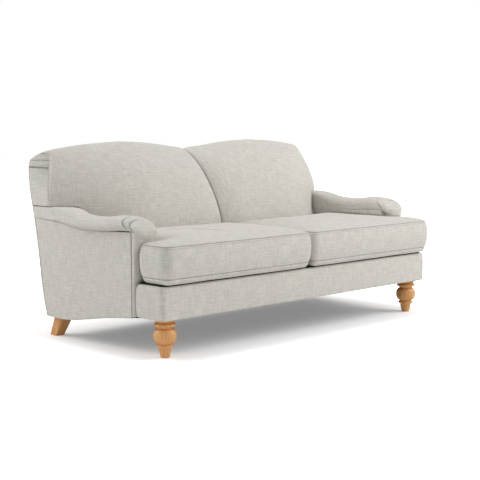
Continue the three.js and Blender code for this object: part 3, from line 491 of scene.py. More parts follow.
border_rings = []
for (x, y), (out_x, out_y) in border_path():
    border_rings.append([(x - inset * out_x, y - inset * out_y, z) for inset, z in BORDER_SECTION])
seat_border = skin("seat_border_cover", border_rings)
modified(seat_border, "SUBSURF", levels=1, render_levels=1)
settle(seat_border, 140, 1.0)
upholster(seat_border, "seat_border")

# Seat deck and dust cover. A padded deck under black lining lies over the springs, and a thin
# sheet of the same cloth is tacked under the rails and hangs a little between them.
BLACK = (0.022, 0.021, 0.02, 1)
black_lining = cloth_finish("black_lining", BLACK, 0.6, 0.0005, own_map=False)
SAME_POINT = 0.00001


def softened(name, node, voxel, passes):
    """A copy of a CAD panel as cloth over wadding: its faces merged, evenly meshed and its edges eased."""
    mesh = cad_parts[node].data.copy()
    mesh.name = name
    piece = added(name, mesh)
    chosen(piece)
    bpy.ops.object.mode_set(mode="EDIT")
    bpy.ops.mesh.select_all(action="SELECT")
    bpy.ops.mesh.remove_doubles(threshold=SAME_POINT)
    bpy.ops.object.mode_set(mode="OBJECT")
    return evened(piece, voxel, passes)


def evened(piece, voxel, passes):
    """Meshes a piece evenly, with points a number of millimetres apart, and smooths it."""
    chosen(piece)
    piece.data.remesh_voxel_size = voxel * MM
    bpy.ops.object.voxel_remesh()
    modified(piece, "SMOOTH", factor=0.5, iterations=passes)
    # Room for painted shade along seams
    if "seam" not in piece.data.attributes:
        piece.data.attributes.new("seam", "FLOAT", "POINT")
    return piece


def lay_flat(piece, shift=(0.0, 0.0)):
    """Lays the cloth on each face from the side that it faces most."""
    mesh = piece.data
    for layer in list(mesh.uv_layers):
        mesh.uv_layers.remove(layer)
    cloth = mesh.uv_layers.new(name="cloth")
    facing = read_all(mesh.polygons, "normal", 3)
    corners = read_all(mesh.polygons, "loop_total", 1, np.int32).ravel()
    vertices = read_all(mesh.loops, "vertex_index", 1, np.int32).ravel()
    side = np.repeat(np.abs(facing).argmax(axis=1), corners)
    kept = np.array([[1, 2], [0, 2], [0, 1]])[side]
    at = (places(piece) * MM)[vertices]
    cloth.data.foreach_set("uv", (np.take_along_axis(at, kept, axis=1) + shift).astype(np.float32).ravel())


seat_deck = softened("seat_deck_cover", "seat_deck", 9.0, 4)
lay_flat(seat_deck)
settle(seat_deck, 160, 1.0)
dress(seat_deck, black_lining, "sofa", "seat_deck")


def one_layer(name, node, step):
    """The underside of a CAD sheet as one layer of cloth, meshed in squares of a step, in millimetres."""
    shell = bmesh.new()
    shell.from_mesh(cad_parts[node].data)
    bmesh.ops.remove_doubles(shell, verts=shell.verts, dist=SAME_POINT)
    shell.normal_update()
    upper = [face for face in shell.faces if face.normal.z > -0.7]
    bmesh.ops.delete(shell, geom=upper, context="FACES")
    for across in (Vector((1, 0, 0)), Vector((0, 1, 0))):
        reach = max(abs(vertex.co.dot(across)) for vertex in shell.verts)
        for at in np.arange(-reach + step * MM, reach, step * MM):
            bmesh.ops.bisect_plane(shell, geom=shell.verts[:] + shell.edges[:] + shell.faces[:],
                                   plane_co=across * at, plane_no=across)
    mesh = bpy.data.meshes.new(name)
    shell.to_mesh(mesh)
    shell.free()
    return added(name, mesh)


DUST_SAG = 5.0
dust_sheet = one_layer("dust_cover_cloth", "dust_cover", 45)
at = places(dust_sheet)
middle, half = (at.max(axis=0) + at.min(axis=0)) / 2, (at.max(axis=0) - at.min(axis=0)) / 2
slack = np.prod(1 - ((at - middle) / half)[:, :2] ** 2, axis=1)
at[:, 2] -= DUST_SAG * slack
set_places(dust_sheet, at)
modified(dust_sheet, "SOLIDIFY", thickness=0.8 * MM, offset=-1)
dress(dust_sheet, black_lining, "sofa", "dust_cover")

# Arms. Each has a flat linen panel outside and inside, a padded roll over the sawn arm rail that
# dips and rises to the back, and a facing whose top is gathered over the roll's round nose.
HALF_DEPTH = 495.0
ARM_FRONT = -266.6
ROLL_HALF_HEIGHT = 33.0
INNER_FULLNESS = 0.28
LEAN, LEAN_FROM, LEAN_HEIGHT, LEAN_END = 60.0, 530.0, 60.0, 40.0
ROLL_REAR = 457.0
ROLL_RAKED = 300.0
ARM_INNER_FACE = 800.0
SIDE = 912.0
FULL_FROM, FULL_RISE = 490.0, 16.0
PANEL = 12.0
SEATED, REAR_CLEAR = 0.3, 0.8


def line_through(pairs):
    """A smooth line through pairs of values that never swings past them, read at one place or at many."""
    xs, ys = (np.array(column, float) for column in zip(*pairs))
    rises = np.diff(ys) / np.diff(xs)
    slopes = np.zeros(len(xs))
    for i in range(1, len(xs) - 1):
        if rises[i - 1] * rises[i] > 0:
            slopes[i] = 2 * rises[i - 1] * rises[i] / (rises[i - 1] + rises[i])

    def read(place):
        at = np.clip(place, xs[0], xs[-1])
        i = np.clip(np.searchsorted(xs, at, side="right") - 1, 0, len(xs) - 2)
        span = xs[i + 1] - xs[i]
        t = (at - xs[i]) / span
        s = 1 - t
        value = (ys[i] * s * s * (1 + 2 * t) + ys[i + 1] * t * t * (1 + 2 * s)
                 + span * t * s * (slopes[i] * s - slopes[i + 1] * t))
        return value if np.ndim(place) else float(value)
    return read


# The roll's top, sides and squareness against depth, and the frame's rear against height
roll_top = line_through([
    (-297, 590), (-243, 593), (-203, 593), (-153.5, 589), (-100, 584), (-44.6, 581), (6, 579.6),
    (49, 579.8), (93, 582.2), (137, 588.2), (188.1, 597.5), (247.5, 605), (297, 607), (495, 607)])
roll_outer = line_through([
    (-297, 931.8), (-267.3, 937.1), (-227.7, 945), (49.5, 945), (198, 931.8), (321.8, 920.3),
    (470.3, 913.3), (495, 913.3)])
roll_inner = line_through([
    (-297, 779.6), (-267.3, 777.9), (-227.7, 776), (-49.5, 776), (148.5, 800), (495, 800)])
roll_squareness = line_through([(-297, 1), (99, 1), (247.5, 0.42), (495, 0.42)])
rear_line = line_through([
    (0, 346.5), (90, 364.8), (198, 394), (297, 410.9), (414, 429.7), (549, 455.4), (666, 484.6),
    (720, 493), (765, 495), (900, 495)])


def near_line(value, line, reach):
    """1 where the value is on the line, fading to 0 over the reach."""
    return np.exp(-((value - line) / reach) ** 2)


def rising(value, start, reach):
    """0 up to the start, rising to 1 over the reach; a reach below 0 rises from the start downwards."""
    return np.clip((value - start) / reach, 0, 1)


def eased(share):
    return share * share * (3 - 2 * share)


outer_panel = softened("arm_outer_cover_right", "outer_arm_panel_right", 5.0, 5)
lay_flat(outer_panel)
settle(outer_panel, 190, 1.2)
# A painted shade line, without a groove, along the panel's front seam
stitch_with_shade(outer_panel, lambda at: near_line(at[:, 1], ARM_FRONT - 1.2, 2.2))
upholster_both(outer_panel, "outer_arm_panel", 3.37)
inner_panel = softened("arm_inner_cover_right", "inner_arm_panel_right", 6.0, 4)
at = places(inner_panel)
full = eased(rising(at[:, 2], FULL_FROM, FULL_RISE)) * rising(at[:, 0], ARM_INNER_FACE + PANEL, -PANEL)
at[:, 0] -= full * np.maximum(0, ARM_INNER_FACE - 0.5 - roll_inner(at[:, 1]))
set_places(inner_panel, at)
lay_flat(inner_panel)
upholster_both(inner_panel, "inner_arm_panel", 1.71)


def squared(value, squareness):
    return math.copysign(abs(value) ** squareness, value)


def roll_rings(count):
    """Ovals from the facing to the frame's raked rear, turned in at the front seam, square under the back."""
    rings = []
    front = [ARM_FRONT + on for on in (0, 0.4, 1.3, 3, 8)]
    for y in front + list(np.linspace(ARM_FRONT + 16, ROLL_REAR, count)):
        ease = np.interp(y - ARM_FRONT, (0, 0.4, 1.3, 3), (3.0, 1.5, 0.5, 0))
        outer, inner, top = roll_outer(y), roll_inner(y), roll_top(y)
        middle, half = (outer + inner) / 2, (outer - inner) / 2 - ease
        squareness = roll_squareness(y)
        slant = rising(y, ROLL_RAKED, ROLL_REAR - ROLL_RAKED) ** 2
        ring = []
        for turn in np.linspace(0, 2 * math.pi, 64, endpoint=False) - math.pi / 2:
            power = squareness * (INNER_FULLNESS if math.cos(turn) < 0 and math.sin(turn) < 0 else 1)
            z = top - ROLL_HALF_HEIGHT + (ROLL_HALF_HEIGHT - ease) * squared(math.sin(turn), power)
            rake = rear_line(z) - PANEL - REAR_CLEAR - ROLL_REAR
            ring.append((middle + half * squared(math.cos(turn), power), y + slant * rake, z))
        rings.append(ring)
    return rings


OUTER_FROM = 845.0


def outside(at):
    """1 on the outer side of the arm, falling to a little on its inner side, where the seams get little
    groove and little painted shade.
    """
    return np.maximum(0.08, rising(at[:, 0], OUTER_FROM, 40))


def lean_back(piece):
    """Leans the roll's end and the scroll on it back towards the top."""
    at = places(piece)
    rise = np.maximum(0, at[:, 2] - LEAN_FROM) / LEAN_HEIGHT
    at[:, 1] += LEAN * rise ** 1.5 * eased(rising(at[:, 1], LEAN_END, ARM_FRONT - LEAN_END))
    set_places(piece, at)


arm_roll = skin("arm_roll_cover_right", roll_rings(60))
settle(arm_roll, 120, 1.4)
# A painted shade line, without a groove, where the roll meets the facing
stitch_with_shade(arm_roll, lambda at: near_line(at[:, 1], ARM_FRONT, 2.0) * outside(at))
lean_back(arm_roll)
upholster_both(arm_roll, "arm_roll", 2.13)

NOSE_LENGTH = 44.0
NOSE_DROP = 55.0
NOSE_FULLNESS = 0.9
NOSE_REAR = -269.3
STRIP_FRONT = -282.2
NOSE_OUTER, NOSE_INNER = roll_outer(NOSE_REAR), roll_inner(NOSE_REAR)
NOSE_MIDDLE, NOSE_HALF = (NOSE_OUTER + NOSE_INNER) / 2, (NOSE_OUTER - NOSE_INNER) / 2
NOSE_LEVEL = roll_top(NOSE_REAR) - ROLL_HALF_HEIGHT
FACE_INNER = ARM_INNER_FACE + 6
# How far the facing's front stands out at each height
THROAT_BULGE = [(312, 0), (332, 8), (430, 8), (500, 28), (532, 28)]
BAND_SEAM = -291.5
BAND_FROM, BAND_FADE = 528.0, 12.0


def join(first, others):
    chosen(first)
    for other in others:
        other.select_set(True)
    bpy.ops.object.join()


nose_rings = []
for turn in np.linspace(0, math.asin(0.985), 20):
    size = math.cos(turn)
    centre = NOSE_LEVEL - NOSE_DROP * (1 - size)
    ring = []
    for a in np.linspace(0, 2 * math.pi, 64, endpoint=False):
        power = fall = 1
        if math.sin(a) < 0:
            power = INNER_FULLNESS if math.cos(a) < 0 else 1 - 0.45 * math.sin(turn)
            fall = 1 + NOSE_FULLNESS * math.sin(turn)
        ring.append((NOSE_MIDDLE + NOSE_HALF * size * squared(math.cos(a), power),
                     NOSE_REAR - NOSE_LENGTH * math.sin(turn),
                     centre + ROLL_HALF_HEIGHT * size * squared(math.sin(a), power) * fall))
    nose_rings.append(ring)
facing = skin("arm_facing_cover_right", nose_rings)
strip_outline = [(FACE_INNER, STRIP_FRONT), (SIDE - 12, STRIP_FRONT), (SIDE - 3.5, STRIP_FRONT + 2.5),
                 (SIDE, STRIP_FRONT + 9), (SIDE, NOSE_REAR), (FACE_INNER, NOSE_REAR)]
strip = skin("strip", [[(x, y, z) for x, y in strip_outline] for z in np.linspace(167, NOSE_LEVEL, 12)])
throat_middle, throat_half = (SIDE + FACE_INNER) / 2, (SIDE - FACE_INNER) / 2
throat_bulge = line_through(THROAT_BULGE)
throat_rings = []
for z in np.linspace(THROAT_BULGE[0][0], THROAT_BULGE[-1][0], 56):
    bulge = throat_bulge(z)
    front = [(throat_middle + throat_half * math.cos(a), STRIP_FRONT - bulge * math.sin(a) ** 0.6, z)
             for a in np.linspace(0, math.pi, 33)]
    throat_rings.append([*front, (FACE_INNER, NOSE_REAR, z), (SIDE, NOSE_REAR, z)])
throat = skin("throat", throat_rings)
join(facing, [strip, throat])
evened(facing, 2.5, 7)


def band_seam(at):
    """The seam between the band that comes off the roll and the scroll's face."""
    return outside(at) * near_line(at[:, 1], BAND_SEAM, 1.8) * rising(at[:, 2], BAND_FROM, BAND_FADE)


def first_seam(at):
    """Where the band meets the roll and the strip meets the outer panel."""
    return outside(at) * near_line(at[:, 1], NOSE_REAR, 2.0)


# The band's seam is drawn in and given painted shade; the first seam gets painted shade only
stitch_with_shade(facing, band_seam, 1.8)
stitch_with_shade(facing, first_seam)
lean_back(facing)
lay_flat(facing)
upholster_both(facing, "arm_facing", 0.77)

# Back. Two tight humps of foam and wadding meet in a sewn line at the middle; a boxed panel
# closes each end over the arm, with the cover laid over it in pleats, and a panel closes the rear.
CREST, CREST_DEPTH = 900.0, 404.9
PAD_BOTTOM = 318.6
PANEL_TOP = 797.0
END_SEAM = 783.0
SEAM_DEPTH, SEAM_REACH = 45.0, 150.0
END_DEPTH, END_REACH = 232.0, 480.0
END_LEAN, END_LEAN_REACH = 60.0, 150.0
PLEATS = (817.0, 849.0)
PLEAT_LENGTH = 62.0
SEAM_CLEAR = 0.6
# Depth, height, and how much of the seam's setback, the end's setback and the end's lean each place takes
HUMP_SECTION = [(104, 319.5, 0.6, 0.85, 0), (98, 396, 0.6, 0.9, 0), (97, 468, 0.7, 0.9, 0),
                (103, 531, 0.8, 1, 0), (121.8, 600.3, 0.95, 0.9, 0), (152, 669.6, 1, 0.76, 0),
                (195, 739.8, 1, 0.64, 0.2), (246, 800.1, 0.9, 0.5, 0.5), (305.9, 849.6, 0.7, 0.34, 0.8),
                (361.8, 884.7, 0.6, 0.18, 1), (404.9, 900, 0.6, 0.08, 0.9), (445, 891.9, 0.4, 0.03, 0.55),
                (476.2, 866.7, 0.2, 0, 0.25), (491, 837, 0, 0, 0.05), (495, 800.1, 0, 0, 0)]
hump_top = line_through([
    (0, 851.4), (18.2, 858.6), (45.6, 865.8), (100.3, 871.2), (200.6, 882.9), (301, 892.8),
    (410.4, 899.1), (456, 900), (501.6, 898.2), (574.6, 894.6), (671.2, 886.5), (764.3, 875.7),
    (820.8, 868.5), (857.3, 863.1), (884.6, 857.7), (898.3, 852.3), (907.4, 845.1), (912, 836.1)])
# The front edge of the boxed end against its height, and how far it leans in there
end_front = line_through([
    (603, 334.6), (646.2, 337.6), (693, 350.5), (732.6, 363.3), (768.6, 379.7), (801, 397)])
panel_lean = line_through([(603, 0), (646.2, 2.1), (693, 12), (732.6, 25.8), (768.6, 40.2), (801, 52.8)])


def through(points, count):
    """Evenly many places on a smooth curve through the points."""
    points = np.asarray(points, float)
    lengths = np.concatenate([[0], np.cumsum(np.linalg.norm(np.diff(points[:, :2], axis=0), axis=1))])
    tangents = np.gradient(points, lengths, axis=0)
    at = np.linspace(0, lengths[-1], count)
    i = np.clip(np.searchsorted(lengths, at, side="right") - 1, 0, len(points) - 2)
    span = (lengths[i + 1] - lengths[i])[:, None]
    t = (at[:, None] - lengths[i][:, None]) / span
    return ((1 + 2 * t) * (1 - t) ** 2 * points[i] + t * (1 - t) ** 2 * span * tangents[i]
            + t * t * (3 - 2 * t) * points[i + 1] + t * t * (t - 1) * span * tangents[i + 1])


hump_section = through(HUMP_SECTION, 150)


def end_share(x):
    """How far the back has begun to recede towards the end."""
    return rising(x, SIDE - END_REACH, END_REACH) ** 2


def panel_face(y, z):
    """The boxed end's outer face, which turns inwards towards the front."""
    front, rear = end_front(z), rear_line(z) - PANEL - SEATED
    return SIDE - panel_lean(z) * (1 - rising(y, front, rear - front)) ** 2


LIP_REACH, LIP_DEPTH = 14.0, 6.0
HEEL = 9.0


def hump_ring(x):
    """The outline of the pad at one place: up its face, over its crest and down its rear."""
    crest = hump_top(x)
    stretch = (crest - PAD_BOTTOM) / (CREST - PAD_BOTTOM)
    setback = SEAM_DEPTH * rising(x, SEAM_REACH, -SEAM_REACH) ** 2
    lip = LIP_DEPTH * rising(x, LIP_REACH, -LIP_REACH) ** 2
    lean = END_LEAN * rising(x, SIDE - END_LEAN_REACH, END_LEAN_REACH) ** 2
    heel = HEEL * (1 - math.sqrt(1 - rising(x, SIDE - HEEL, HEEL) ** 2))
    recess = END_DEPTH * end_share(x)
    ring = []
    for depth, height, seam_take, end_take, lean_take in hump_section:
        if depth < CREST_DEPTH:
            z = PAD_BOTTOM + max(0.0, height - PAD_BOTTOM) * stretch
        else:
            z = PANEL_TOP + (height - PANEL_TOP) * (crest - PANEL_TOP) / (CREST - PANEL_TOP)
        z -= lip * rising(height, 800, 90)
        y = depth + setback * seam_take + recess * end_take
        y = min(y + lip, HALF_DEPTH) - heel * rising(depth, 435, 50)
        ring.append((x - lean * lean_take, y, z))
    ring.append((x, rear_line(PANEL_TOP) - 4 - heel, PANEL_TOP + 0.4))
    for z in np.linspace(PANEL_TOP + 0.3, PAD_BOTTOM, 16):
        ring.append((x, rear_line(z) - PANEL - REAR_CLEAR, z))
    front, rear = ring[0][1], ring[-1][1]
    for share in (0.25, 0.5, 0.75):
        ring.append((x, rear + (front - rear) * share, PAD_BOTTOM))
    return ring


hump_places = [0.2, 1.2, 2.6, 4.6, 7.5, 12, 18, 27, 38, 52] + list(np.linspace(68, 820, 40))
hump_places += list(np.linspace(824, 908, 29)) + [909.5, 910.8, 911.6, SIDE]
hump_rings = [hump_ring(x) for x in hump_places]
# The hump's end closes towards a line up its middle, in the plane of the boxed end's face
end_ring = np.array(hump_rings[-1])
fore = end_ring[:len(hump_section)]
level = np.clip(end_ring[:, 2], PAD_BOTTOM + 8, PANEL_TOP - 7)
middle = (np.interp(level, fore[:, 2], fore[:, 1]) + rear_line(level) - PANEL) / 2
inmost = np.column_stack([panel_face(middle, level) + 1, middle, level])
full = np.column_stack([end_ring[:, 2] > PANEL_TOP, np.zeros((len(end_ring), 2))]) * 14
for share in (0.03, 0.08, 0.16, 0.26, 0.38, 0.52, 0.68, 0.84, 0.97):
    hump_rings.append(end_ring + (inmost - end_ring) * share + full * share * (1 - share))
back_pad = skin("back_pad_cover_right", hump_rings)


def cut_away(piece, cutter):
    modified(piece, "BOOLEAN", operation="DIFFERENCE", solver="EXACT", object=cutter)
    bpy.data.objects.remove(cutter)


# The pad is cut away over the arm and round the boxed end, by forms that reach past it
BEHIND, BESIDE, BELOW = 560.0, 980.0, 100.0
arm_line = [(y, roll_top(y) + SEAM_CLEAR) for y in np.linspace(BEHIND, 0, 40)]
arm_line += [(0, BELOW), (BEHIND, BELOW)]
arm_sides = (ARM_INNER_FACE - SEAM_CLEAR, BESIDE)
cut_away(back_pad, skin("arm_space", [[(x, y, z) for y, z in arm_line] for x in arm_sides]))
end_levels = []
for z in np.linspace(604, END_SEAM + SEAM_CLEAR, 24):
    front, rear = end_front(z) - SEAM_CLEAR, rear_line(z)
    inner = [(panel_face(y, z) - PANEL - SEAM_CLEAR, y, z) for y in np.linspace(front, rear, 12)]
    corners = [(SIDE - PANEL - SEAM_CLEAR, BEHIND, z), (BESIDE, BEHIND, z), (BESIDE, front, z)]
    end_levels.append(inner + corners)
cut_away(back_pad, skin("end_space", end_levels))
settle(back_pad, 210, 2.4)


def pleats(at):
    """The cover's two laid pleats on the end, which run back from the front edge of the boxed end."""
    across = rising(at[:, 0], SIDE - PLEAT_LENGTH, 14)
    return across * np.maximum(*[near_line(at[:, 2], level, 2.2) for level in PLEATS])


def end_seam(at):
    """The seam where the pad's cover is sewn to the boxed end."""
    outer = rising(at[:, 0], SIDE - PLEAT_LENGTH - 10, 6) * (at[:, 2] < END_SEAM + 6)
    over = near_line(at[:, 2], END_SEAM + SEAM_CLEAR, 2.2) * (at[:, 1] > end_front(END_SEAM) - 5)
    return outer * np.maximum(over, near_line(at[:, 1], end_front(at[:, 2]), 2.2))


# Painted shade in the pleats' folds, which are also drawn in, and painted shade only along the end seam and
# the middle crease
stitch_with_shade(back_pad, pleats, 1.6)
stitch_with_shade(back_pad, end_seam)
stitch_with_shade(back_pad, lambda at: near_line(at[:, 0], 0.0, 4.0))
upholster_both(back_pad, "back_pad", 4.19)

# The boxed end itself, a panel bent round the end of the frame
face_levels = []
for z in np.linspace(607.4, END_SEAM, 26):
    front, rear = end_front(z), rear_line(z) - PANEL - SEATED
    line = np.linspace(front, rear, 14)
    outer = [(panel_face(y, z), y, z) for y in line]
    inner = [(x - PANEL, y, z) for x, y, _ in outer[::-1]]
    face_levels.append(outer + inner)
end_panel = skin("back_end_cover_right", face_levels)
evened(end_panel, 3.0, 4)
lay_flat(end_panel)
# Painted shade only, without a groove, along the end's top seam and front edge
stitch_with_shade(end_panel, lambda at: np.maximum(near_line(at[:, 2], END_SEAM, 2.4),
                                        near_line(at[:, 1], end_front(at[:, 2]), 2.4)))
upholster_both(end_panel, "back_end_panel", 2.93)
rear_panel = softened("back_rear_cover", "back_outer_panel", 8.0, 4)
lay_flat(rear_panel, (0.4, 0.2))
upholster(rear_panel, "back_outer_panel")

# Seat cushions. Two loose cushions of foam in a feather wrap, each with an ear that comes round
# the front of its arm: a top and a bottom panel sewn to a boxing all the way round.
EAR_REAR = -300.15
CUSHION_REAR = 93.06
CUSHION_FOLLOW = 0.83
# Each corner's place and radius
CUSHION_CORNERS = [(2, -495, 36), (912, -495, 52), (912, EAR_REAR, 34), (796, EAR_REAR, 16),
                   (796, CUSHION_REAR, 36), (2, CUSHION_REAR, 36)]
HEART = np.array([428.6, -374.0])
LOWER_SEAM, UPPER_SEAM = 345.0, 480.0
CUSHION_BOTTOM = 318.7
CROWN, CROWN_REACH = 31.0, 62.0
BOXING_BULGE = 14.0
SEAM_INSET, PANEL_INSET = 15.5, 30.0
LOWER_EDGE = [(PANEL_INSET, 319.8), (26, 322.5), (20, 328), (15.5, 335), (13.4, 340), (13, 342.6)]
# How far along its panel each ring of the bottom and the top lies, and the levels of the boxing's rings
BOTTOM_SHARES = (0.03, 0.1, 0.2, 0.3, 0.4, 0.5, 0.6, 0.69, 0.77, 0.84, 0.9, 0.94)
TOP_SHARES = (0.985, 0.96, 0.93, 0.9, 0.86, 0.81, 0.76, 0.7, 0.64, 0.57, 0.5, 0.42, 0.34, 0.26, 0.18, 0.1,
              0.03)
BOXING_LEVELS = (347.2, 350, 354, 360, 367, 375, 384, 393, 403, 412.5, 422, 432, 441, 450, 458, 465, 470.3,
                 471.8, 473.3, 477.8)


def rounded(corners, step):
    """A closed outline with rounded corners and points about a step apart, and its inward directions."""
    outline, inward = [], []
    count = len(corners)
    for i, (x, y, radius) in enumerate(corners):
        here = np.array([x, y], float)
        before = np.array(corners[i - 1][:2], float) - here
        after = np.array(corners[(i + 1) % count][:2], float) - here
        before /= np.linalg.norm(before)
        after /= np.linalg.norm(after)
        centre = here + radius * (before + after)
        hollow = before[0] * after[1] - before[1] * after[0] > 0
        for turn in np.linspace(0, math.pi / 2, 9):
            out = -after * math.cos(turn) - before * math.sin(turn)
            outline.append(centre + radius * out)
            inward.append(out if hollow else -out)
        following = corners[(i + 1) % count]
        nearest = np.array(following[:2], float) - after * following[2]
        here = outline[-1]
        gap = np.linalg.norm(nearest - here)
        parts = max(1, round(gap / step))
        for part in range(1, parts):
            outline.append(here + (nearest - here) * part / parts)
            inward.append(inward[-1])
    return np.array(outline), np.array(inward)


def against_the_back(outline):
    """The rear of the cushion follows the back where that recedes to its end."""
    reach = rising(outline[:, 1], EAR_REAR, CUSHION_REAR - EAR_REAR)
    shift = END_DEPTH * CUSHION_FOLLOW * end_share(outline[:, 0]) * reach ** 2
    return outline + np.column_stack([np.zeros(len(outline)), shift])


cushion_outline, cushion_inward = rounded(CUSHION_CORNERS, 10)
cushion_outline = against_the_back(cushion_outline)
fine_outline, fine_inward = rounded(CUSHION_CORNERS, 2)
fine_outline = against_the_back(fine_outline)
fine_seam = fine_outline + fine_inward * BOXING_BULGE
seam_step = np.linalg.norm(fine_seam - np.roll(fine_seam, 1, axis=0), axis=1)


# What a long straight seam adds up to below, times the cube of its distance
STRAIGHT_SEAM = 1.5708


def from_the_seam(points):
    """About how far each place on a panel is from the seam round it, without creases at the corners."""
    apart = np.maximum(0.5, np.linalg.norm(points[:, None, :] - fine_seam[None], axis=2))
    return (STRAIGHT_SEAM / (seam_step / apart ** 4).sum(axis=1)) ** (1 / 3)


def cushion_rings():
    """Rings from the heart of the bottom panel, out over the boxing and in to the heart of the top one."""

    def ring(inset, share, z):
        at = cushion_outline + cushion_inward * inset
        at = HEART + (at - HEART) * share
        return np.column_stack([at, np.full(len(at), z) if np.isscalar(z) else z(at)])

    def crowned(at):
        return UPPER_SEAM + 2 + CROWN * (1 - np.exp(-from_the_seam(at) / CROWN_REACH))

    rings = [ring(PANEL_INSET, share, CUSHION_BOTTOM) for share in BOTTOM_SHARES]
    rings += [ring(inset, 1, z) for inset, z in LOWER_EDGE]
    lower = len(rings)
    rings.append(ring(SEAM_INSET, 1, LOWER_SEAM))
    for z in BOXING_LEVELS:
        rise = (z - (LOWER_SEAM + UPPER_SEAM) / 2) / (UPPER_SEAM - LOWER_SEAM) * 2
        rings.append(ring(12.5 * abs(rise) ** 2.4, 1, z))
    upper = len(rings)
    rings += [ring(SEAM_INSET, 1, UPPER_SEAM), ring(14.6, 1, UPPER_SEAM + 2.4)]
    rings += [ring(inset, 1, crowned) for inset in (16.5, 19.5, 24, PANEL_INSET)]
    rings += [ring(PANEL_INSET, share, crowned) for share in TOP_SHARES]
    return rings, lower, upper


PUFF_VOXEL = 11.0
PUFF_PRESSURE = 4.0
PUFF_MOST = 6.0
PUFF_STEPS = 20


def puffed(piece, held):
    """Blows an evenly meshed copy up as sewn cloth, and moves the piece's points as the copy's moved."""
    copy = piece.copy()
    copy.data = piece.data.copy()
    bpy.context.scene.collection.objects.link(copy)
    chosen(copy)
    copy.data.remesh_voxel_size = PUFF_VOXEL * MM
    bpy.ops.object.voxel_remesh()
    before = places(copy)
    group = copy.vertex_groups.new(name="held")
    for index in np.nonzero(held(before))[0]:
        group.add([int(index)], 1.0, "REPLACE")
    cloth = copy.modifiers.new("cloth", "CLOTH")
    for key, value in {"quality": 5, "mass": 0.3, "tension_stiffness": 12, "compression_stiffness": 12,
                       "bending_stiffness": 0.6, "use_pressure": True, "vertex_group_mass": "held",
                       "uniform_pressure_force": PUFF_PRESSURE}.items():
        setattr(cloth.settings, key, value)
    cloth.settings.effector_weights.gravity = 0
    scene = bpy.context.scene
    for number in range(1, PUFF_STEPS + 1):
        scene.frame_set(number)
    grown = copy.evaluated_get(bpy.context.evaluated_depsgraph_get())
    moved = read_all(grown.data.vertices, "co", 3) / MM - before
    length = np.linalg.norm(moved, axis=1)
    moved *= (PUFF_MOST * np.tanh(length / PUFF_MOST) / np.maximum(length, 1e-6))[:, None]
    scene.frame_set(1)
    faces = [list(face.vertices) for face in copy.data.polygons]
    tree = BVHTree.FromPolygons([Vector(p) for p in before], faces)
    points = places(piece)
    for i, point in enumerate(points):
        face = faces[tree.find_nearest(Vector(point))[2]]
        weights = 1 / (np.linalg.norm(before[face] - point, axis=1) + 0.5) ** 2
        points[i] = point + (moved[face] * weights[:, None]).sum(axis=0) / weights.sum()
    set_places(piece, points)
    bpy.data.objects.remove(copy)


BOXING_CLOTH = 5.0
HELD_BELOW, HELD_NEAR_SEAM = 330.0, 7.0


def seat_cushion(name, shift):
    """A cushion of three pieces of cloth, its boxing cut from another part of the cloth than its panels."""
    rings, lower, upper = cushion_rings()
    count, around = len(rings), len(rings[0])
    flat = np.concatenate(rings)
    girth = np.linalg.norm(np.diff(np.concatenate([cushion_outline, cushion_outline[:1]]), axis=0), axis=1)
    run = np.concatenate([[0], np.cumsum(girth)])

    def chart(r, ring, at):
        place = flat[ring * around + at % around]
        return (run[at] * MM + BOXING_CLOTH, place[2] * MM) if lower <= r < upper else tuple(place[:2] * MM)

    faces, charts = between_rings(count, around, chart)
    points = flat.tolist()
    for r, turn in ((0, -1), (count - 1, 1)):
        points.append(rings[r].mean(axis=0).tolist())
        for i in range(around):
            faces.append([r * around + i, r * around + (i + 1) % around, len(points) - 1][::turn])
            charts.append([tuple(np.array(points[v][:2]) * MM) for v in faces[-1]])
    cushion = placed_mesh(name, points, faces, charts)
    # Painted shade on the rings of both seams, and a fainter darkened line just under the top seam
    for r, drawn in ((lower, 1.0), (upper, 1.0), (upper - 3, 0.6)):
        for i in range(around):
            cushion.data.attributes["seam"].data[r * around + i].value = drawn
    puffed(cushion, lambda at: (at[:, 2] < HELD_BELOW) | (np.abs(at[:, 2] - LOWER_SEAM) < HELD_NEAR_SEAM)
           | (np.abs(at[:, 2] - UPPER_SEAM) < HELD_NEAR_SEAM))
    settle(cushion, 150, 2.0, shift)
    return cushion


upholster_both(seat_cushion("seat_cushion_cover_right", 3.1), "seat_cushion", 6.1, "{}_cushion")

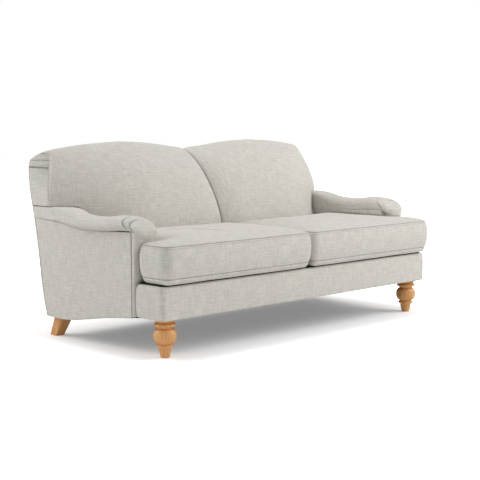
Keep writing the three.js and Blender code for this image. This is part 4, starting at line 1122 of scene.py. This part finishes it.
# Feet. The front feet are turned from one block of oiled oak: a collar and bead, a ball, a ring
# and a tapered stem. The rear ones are square, tapered and raked. A bolt and nut holds each.
OAK_LIGHT = (0.74, 0.38, 0.135, 1)
OAK_DARK = (0.61, 0.285, 0.088, 1)
oak = wood_finish("oiled_oak", OAK_LIGHT, OAK_DARK, (0, 0, 0), 0.3, coat=0.15)
FRONT_FOOT = (834.0, -393.0)
FOOT_HEIGHT = 166.7
SHARP_EDGE = 38.0


def member(root, peak, middle, half, count):
    """Half an oval of a turning, as radius and height."""
    turns = np.linspace(-math.pi / 2, math.pi / 2, count)
    return [(root + (peak - root) * math.cos(a), middle + half * math.sin(a)) for a in turns]


foot_profile = [
    (0, 0), (16.5, 0), (18.6, 0.7), (19.8, 2.2), (20.2, 4), (22.3, 14), (24.6, 26), (26.2, 35), (27, 40.5),
    (28.2, 42.6), (31.5, 44), *member(31.5, 38, 50.5, 6, 9), (30.8, 57.4), (30.6, 59.4),
    *member(31.5, 50.5, 94, 32, 19), (33.4, 127.2), (33.6, 130), *member(35, 47, 142, 8.6, 9), (36.4, 151.2),
    (37.6, 154), (40.2, 157), (44, 159.4), (48.4, 160.8), (50, 162), (50, FOOT_HEIGHT), (4.4, FOOT_HEIGHT),
    (4.4, 131.7), (0, 131.7)]


def turned_foot(name, x, y):
    """The profile is spun once round the foot's axis."""
    mesh = bpy.data.meshes.new(name)
    foot = added(name, mesh)
    mesh.from_pydata([((x + r) * MM, y * MM, z * MM) for r, z in foot_profile],
                     [(i, i + 1) for i in range(len(foot_profile) - 1)], [])
    chosen(foot)
    bpy.ops.object.mode_set(mode="EDIT")
    bpy.ops.mesh.select_all(action="SELECT")
    bpy.ops.mesh.spin(steps=64, angle=2 * math.pi, center=(x * MM, y * MM, 0), axis=(0, 0, 1))
    bpy.ops.mesh.select_all(action="SELECT")
    bpy.ops.mesh.remove_doubles(threshold=2 * SAME_POINT)
    bpy.ops.mesh.normals_make_consistent(inside=False)
    bpy.ops.object.mode_set(mode="OBJECT")
    return foot


for side, sign in (("right", 1), ("left", -1)):
    foot = turned_foot(f"front_foot_turned_{side}", sign * FRONT_FOOT[0], FRONT_FOOT[1])
    dress(foot, oak, "sofa", f"front_foot_{side}")
    chosen(foot)
    bpy.ops.object.shade_smooth_by_angle(angle=math.radians(SHARP_EDGE))
refinish(both("rear_foot"), oak)
refinish(both("front_foot_bolt", "rear_foot_bolt"), drawn_steel)
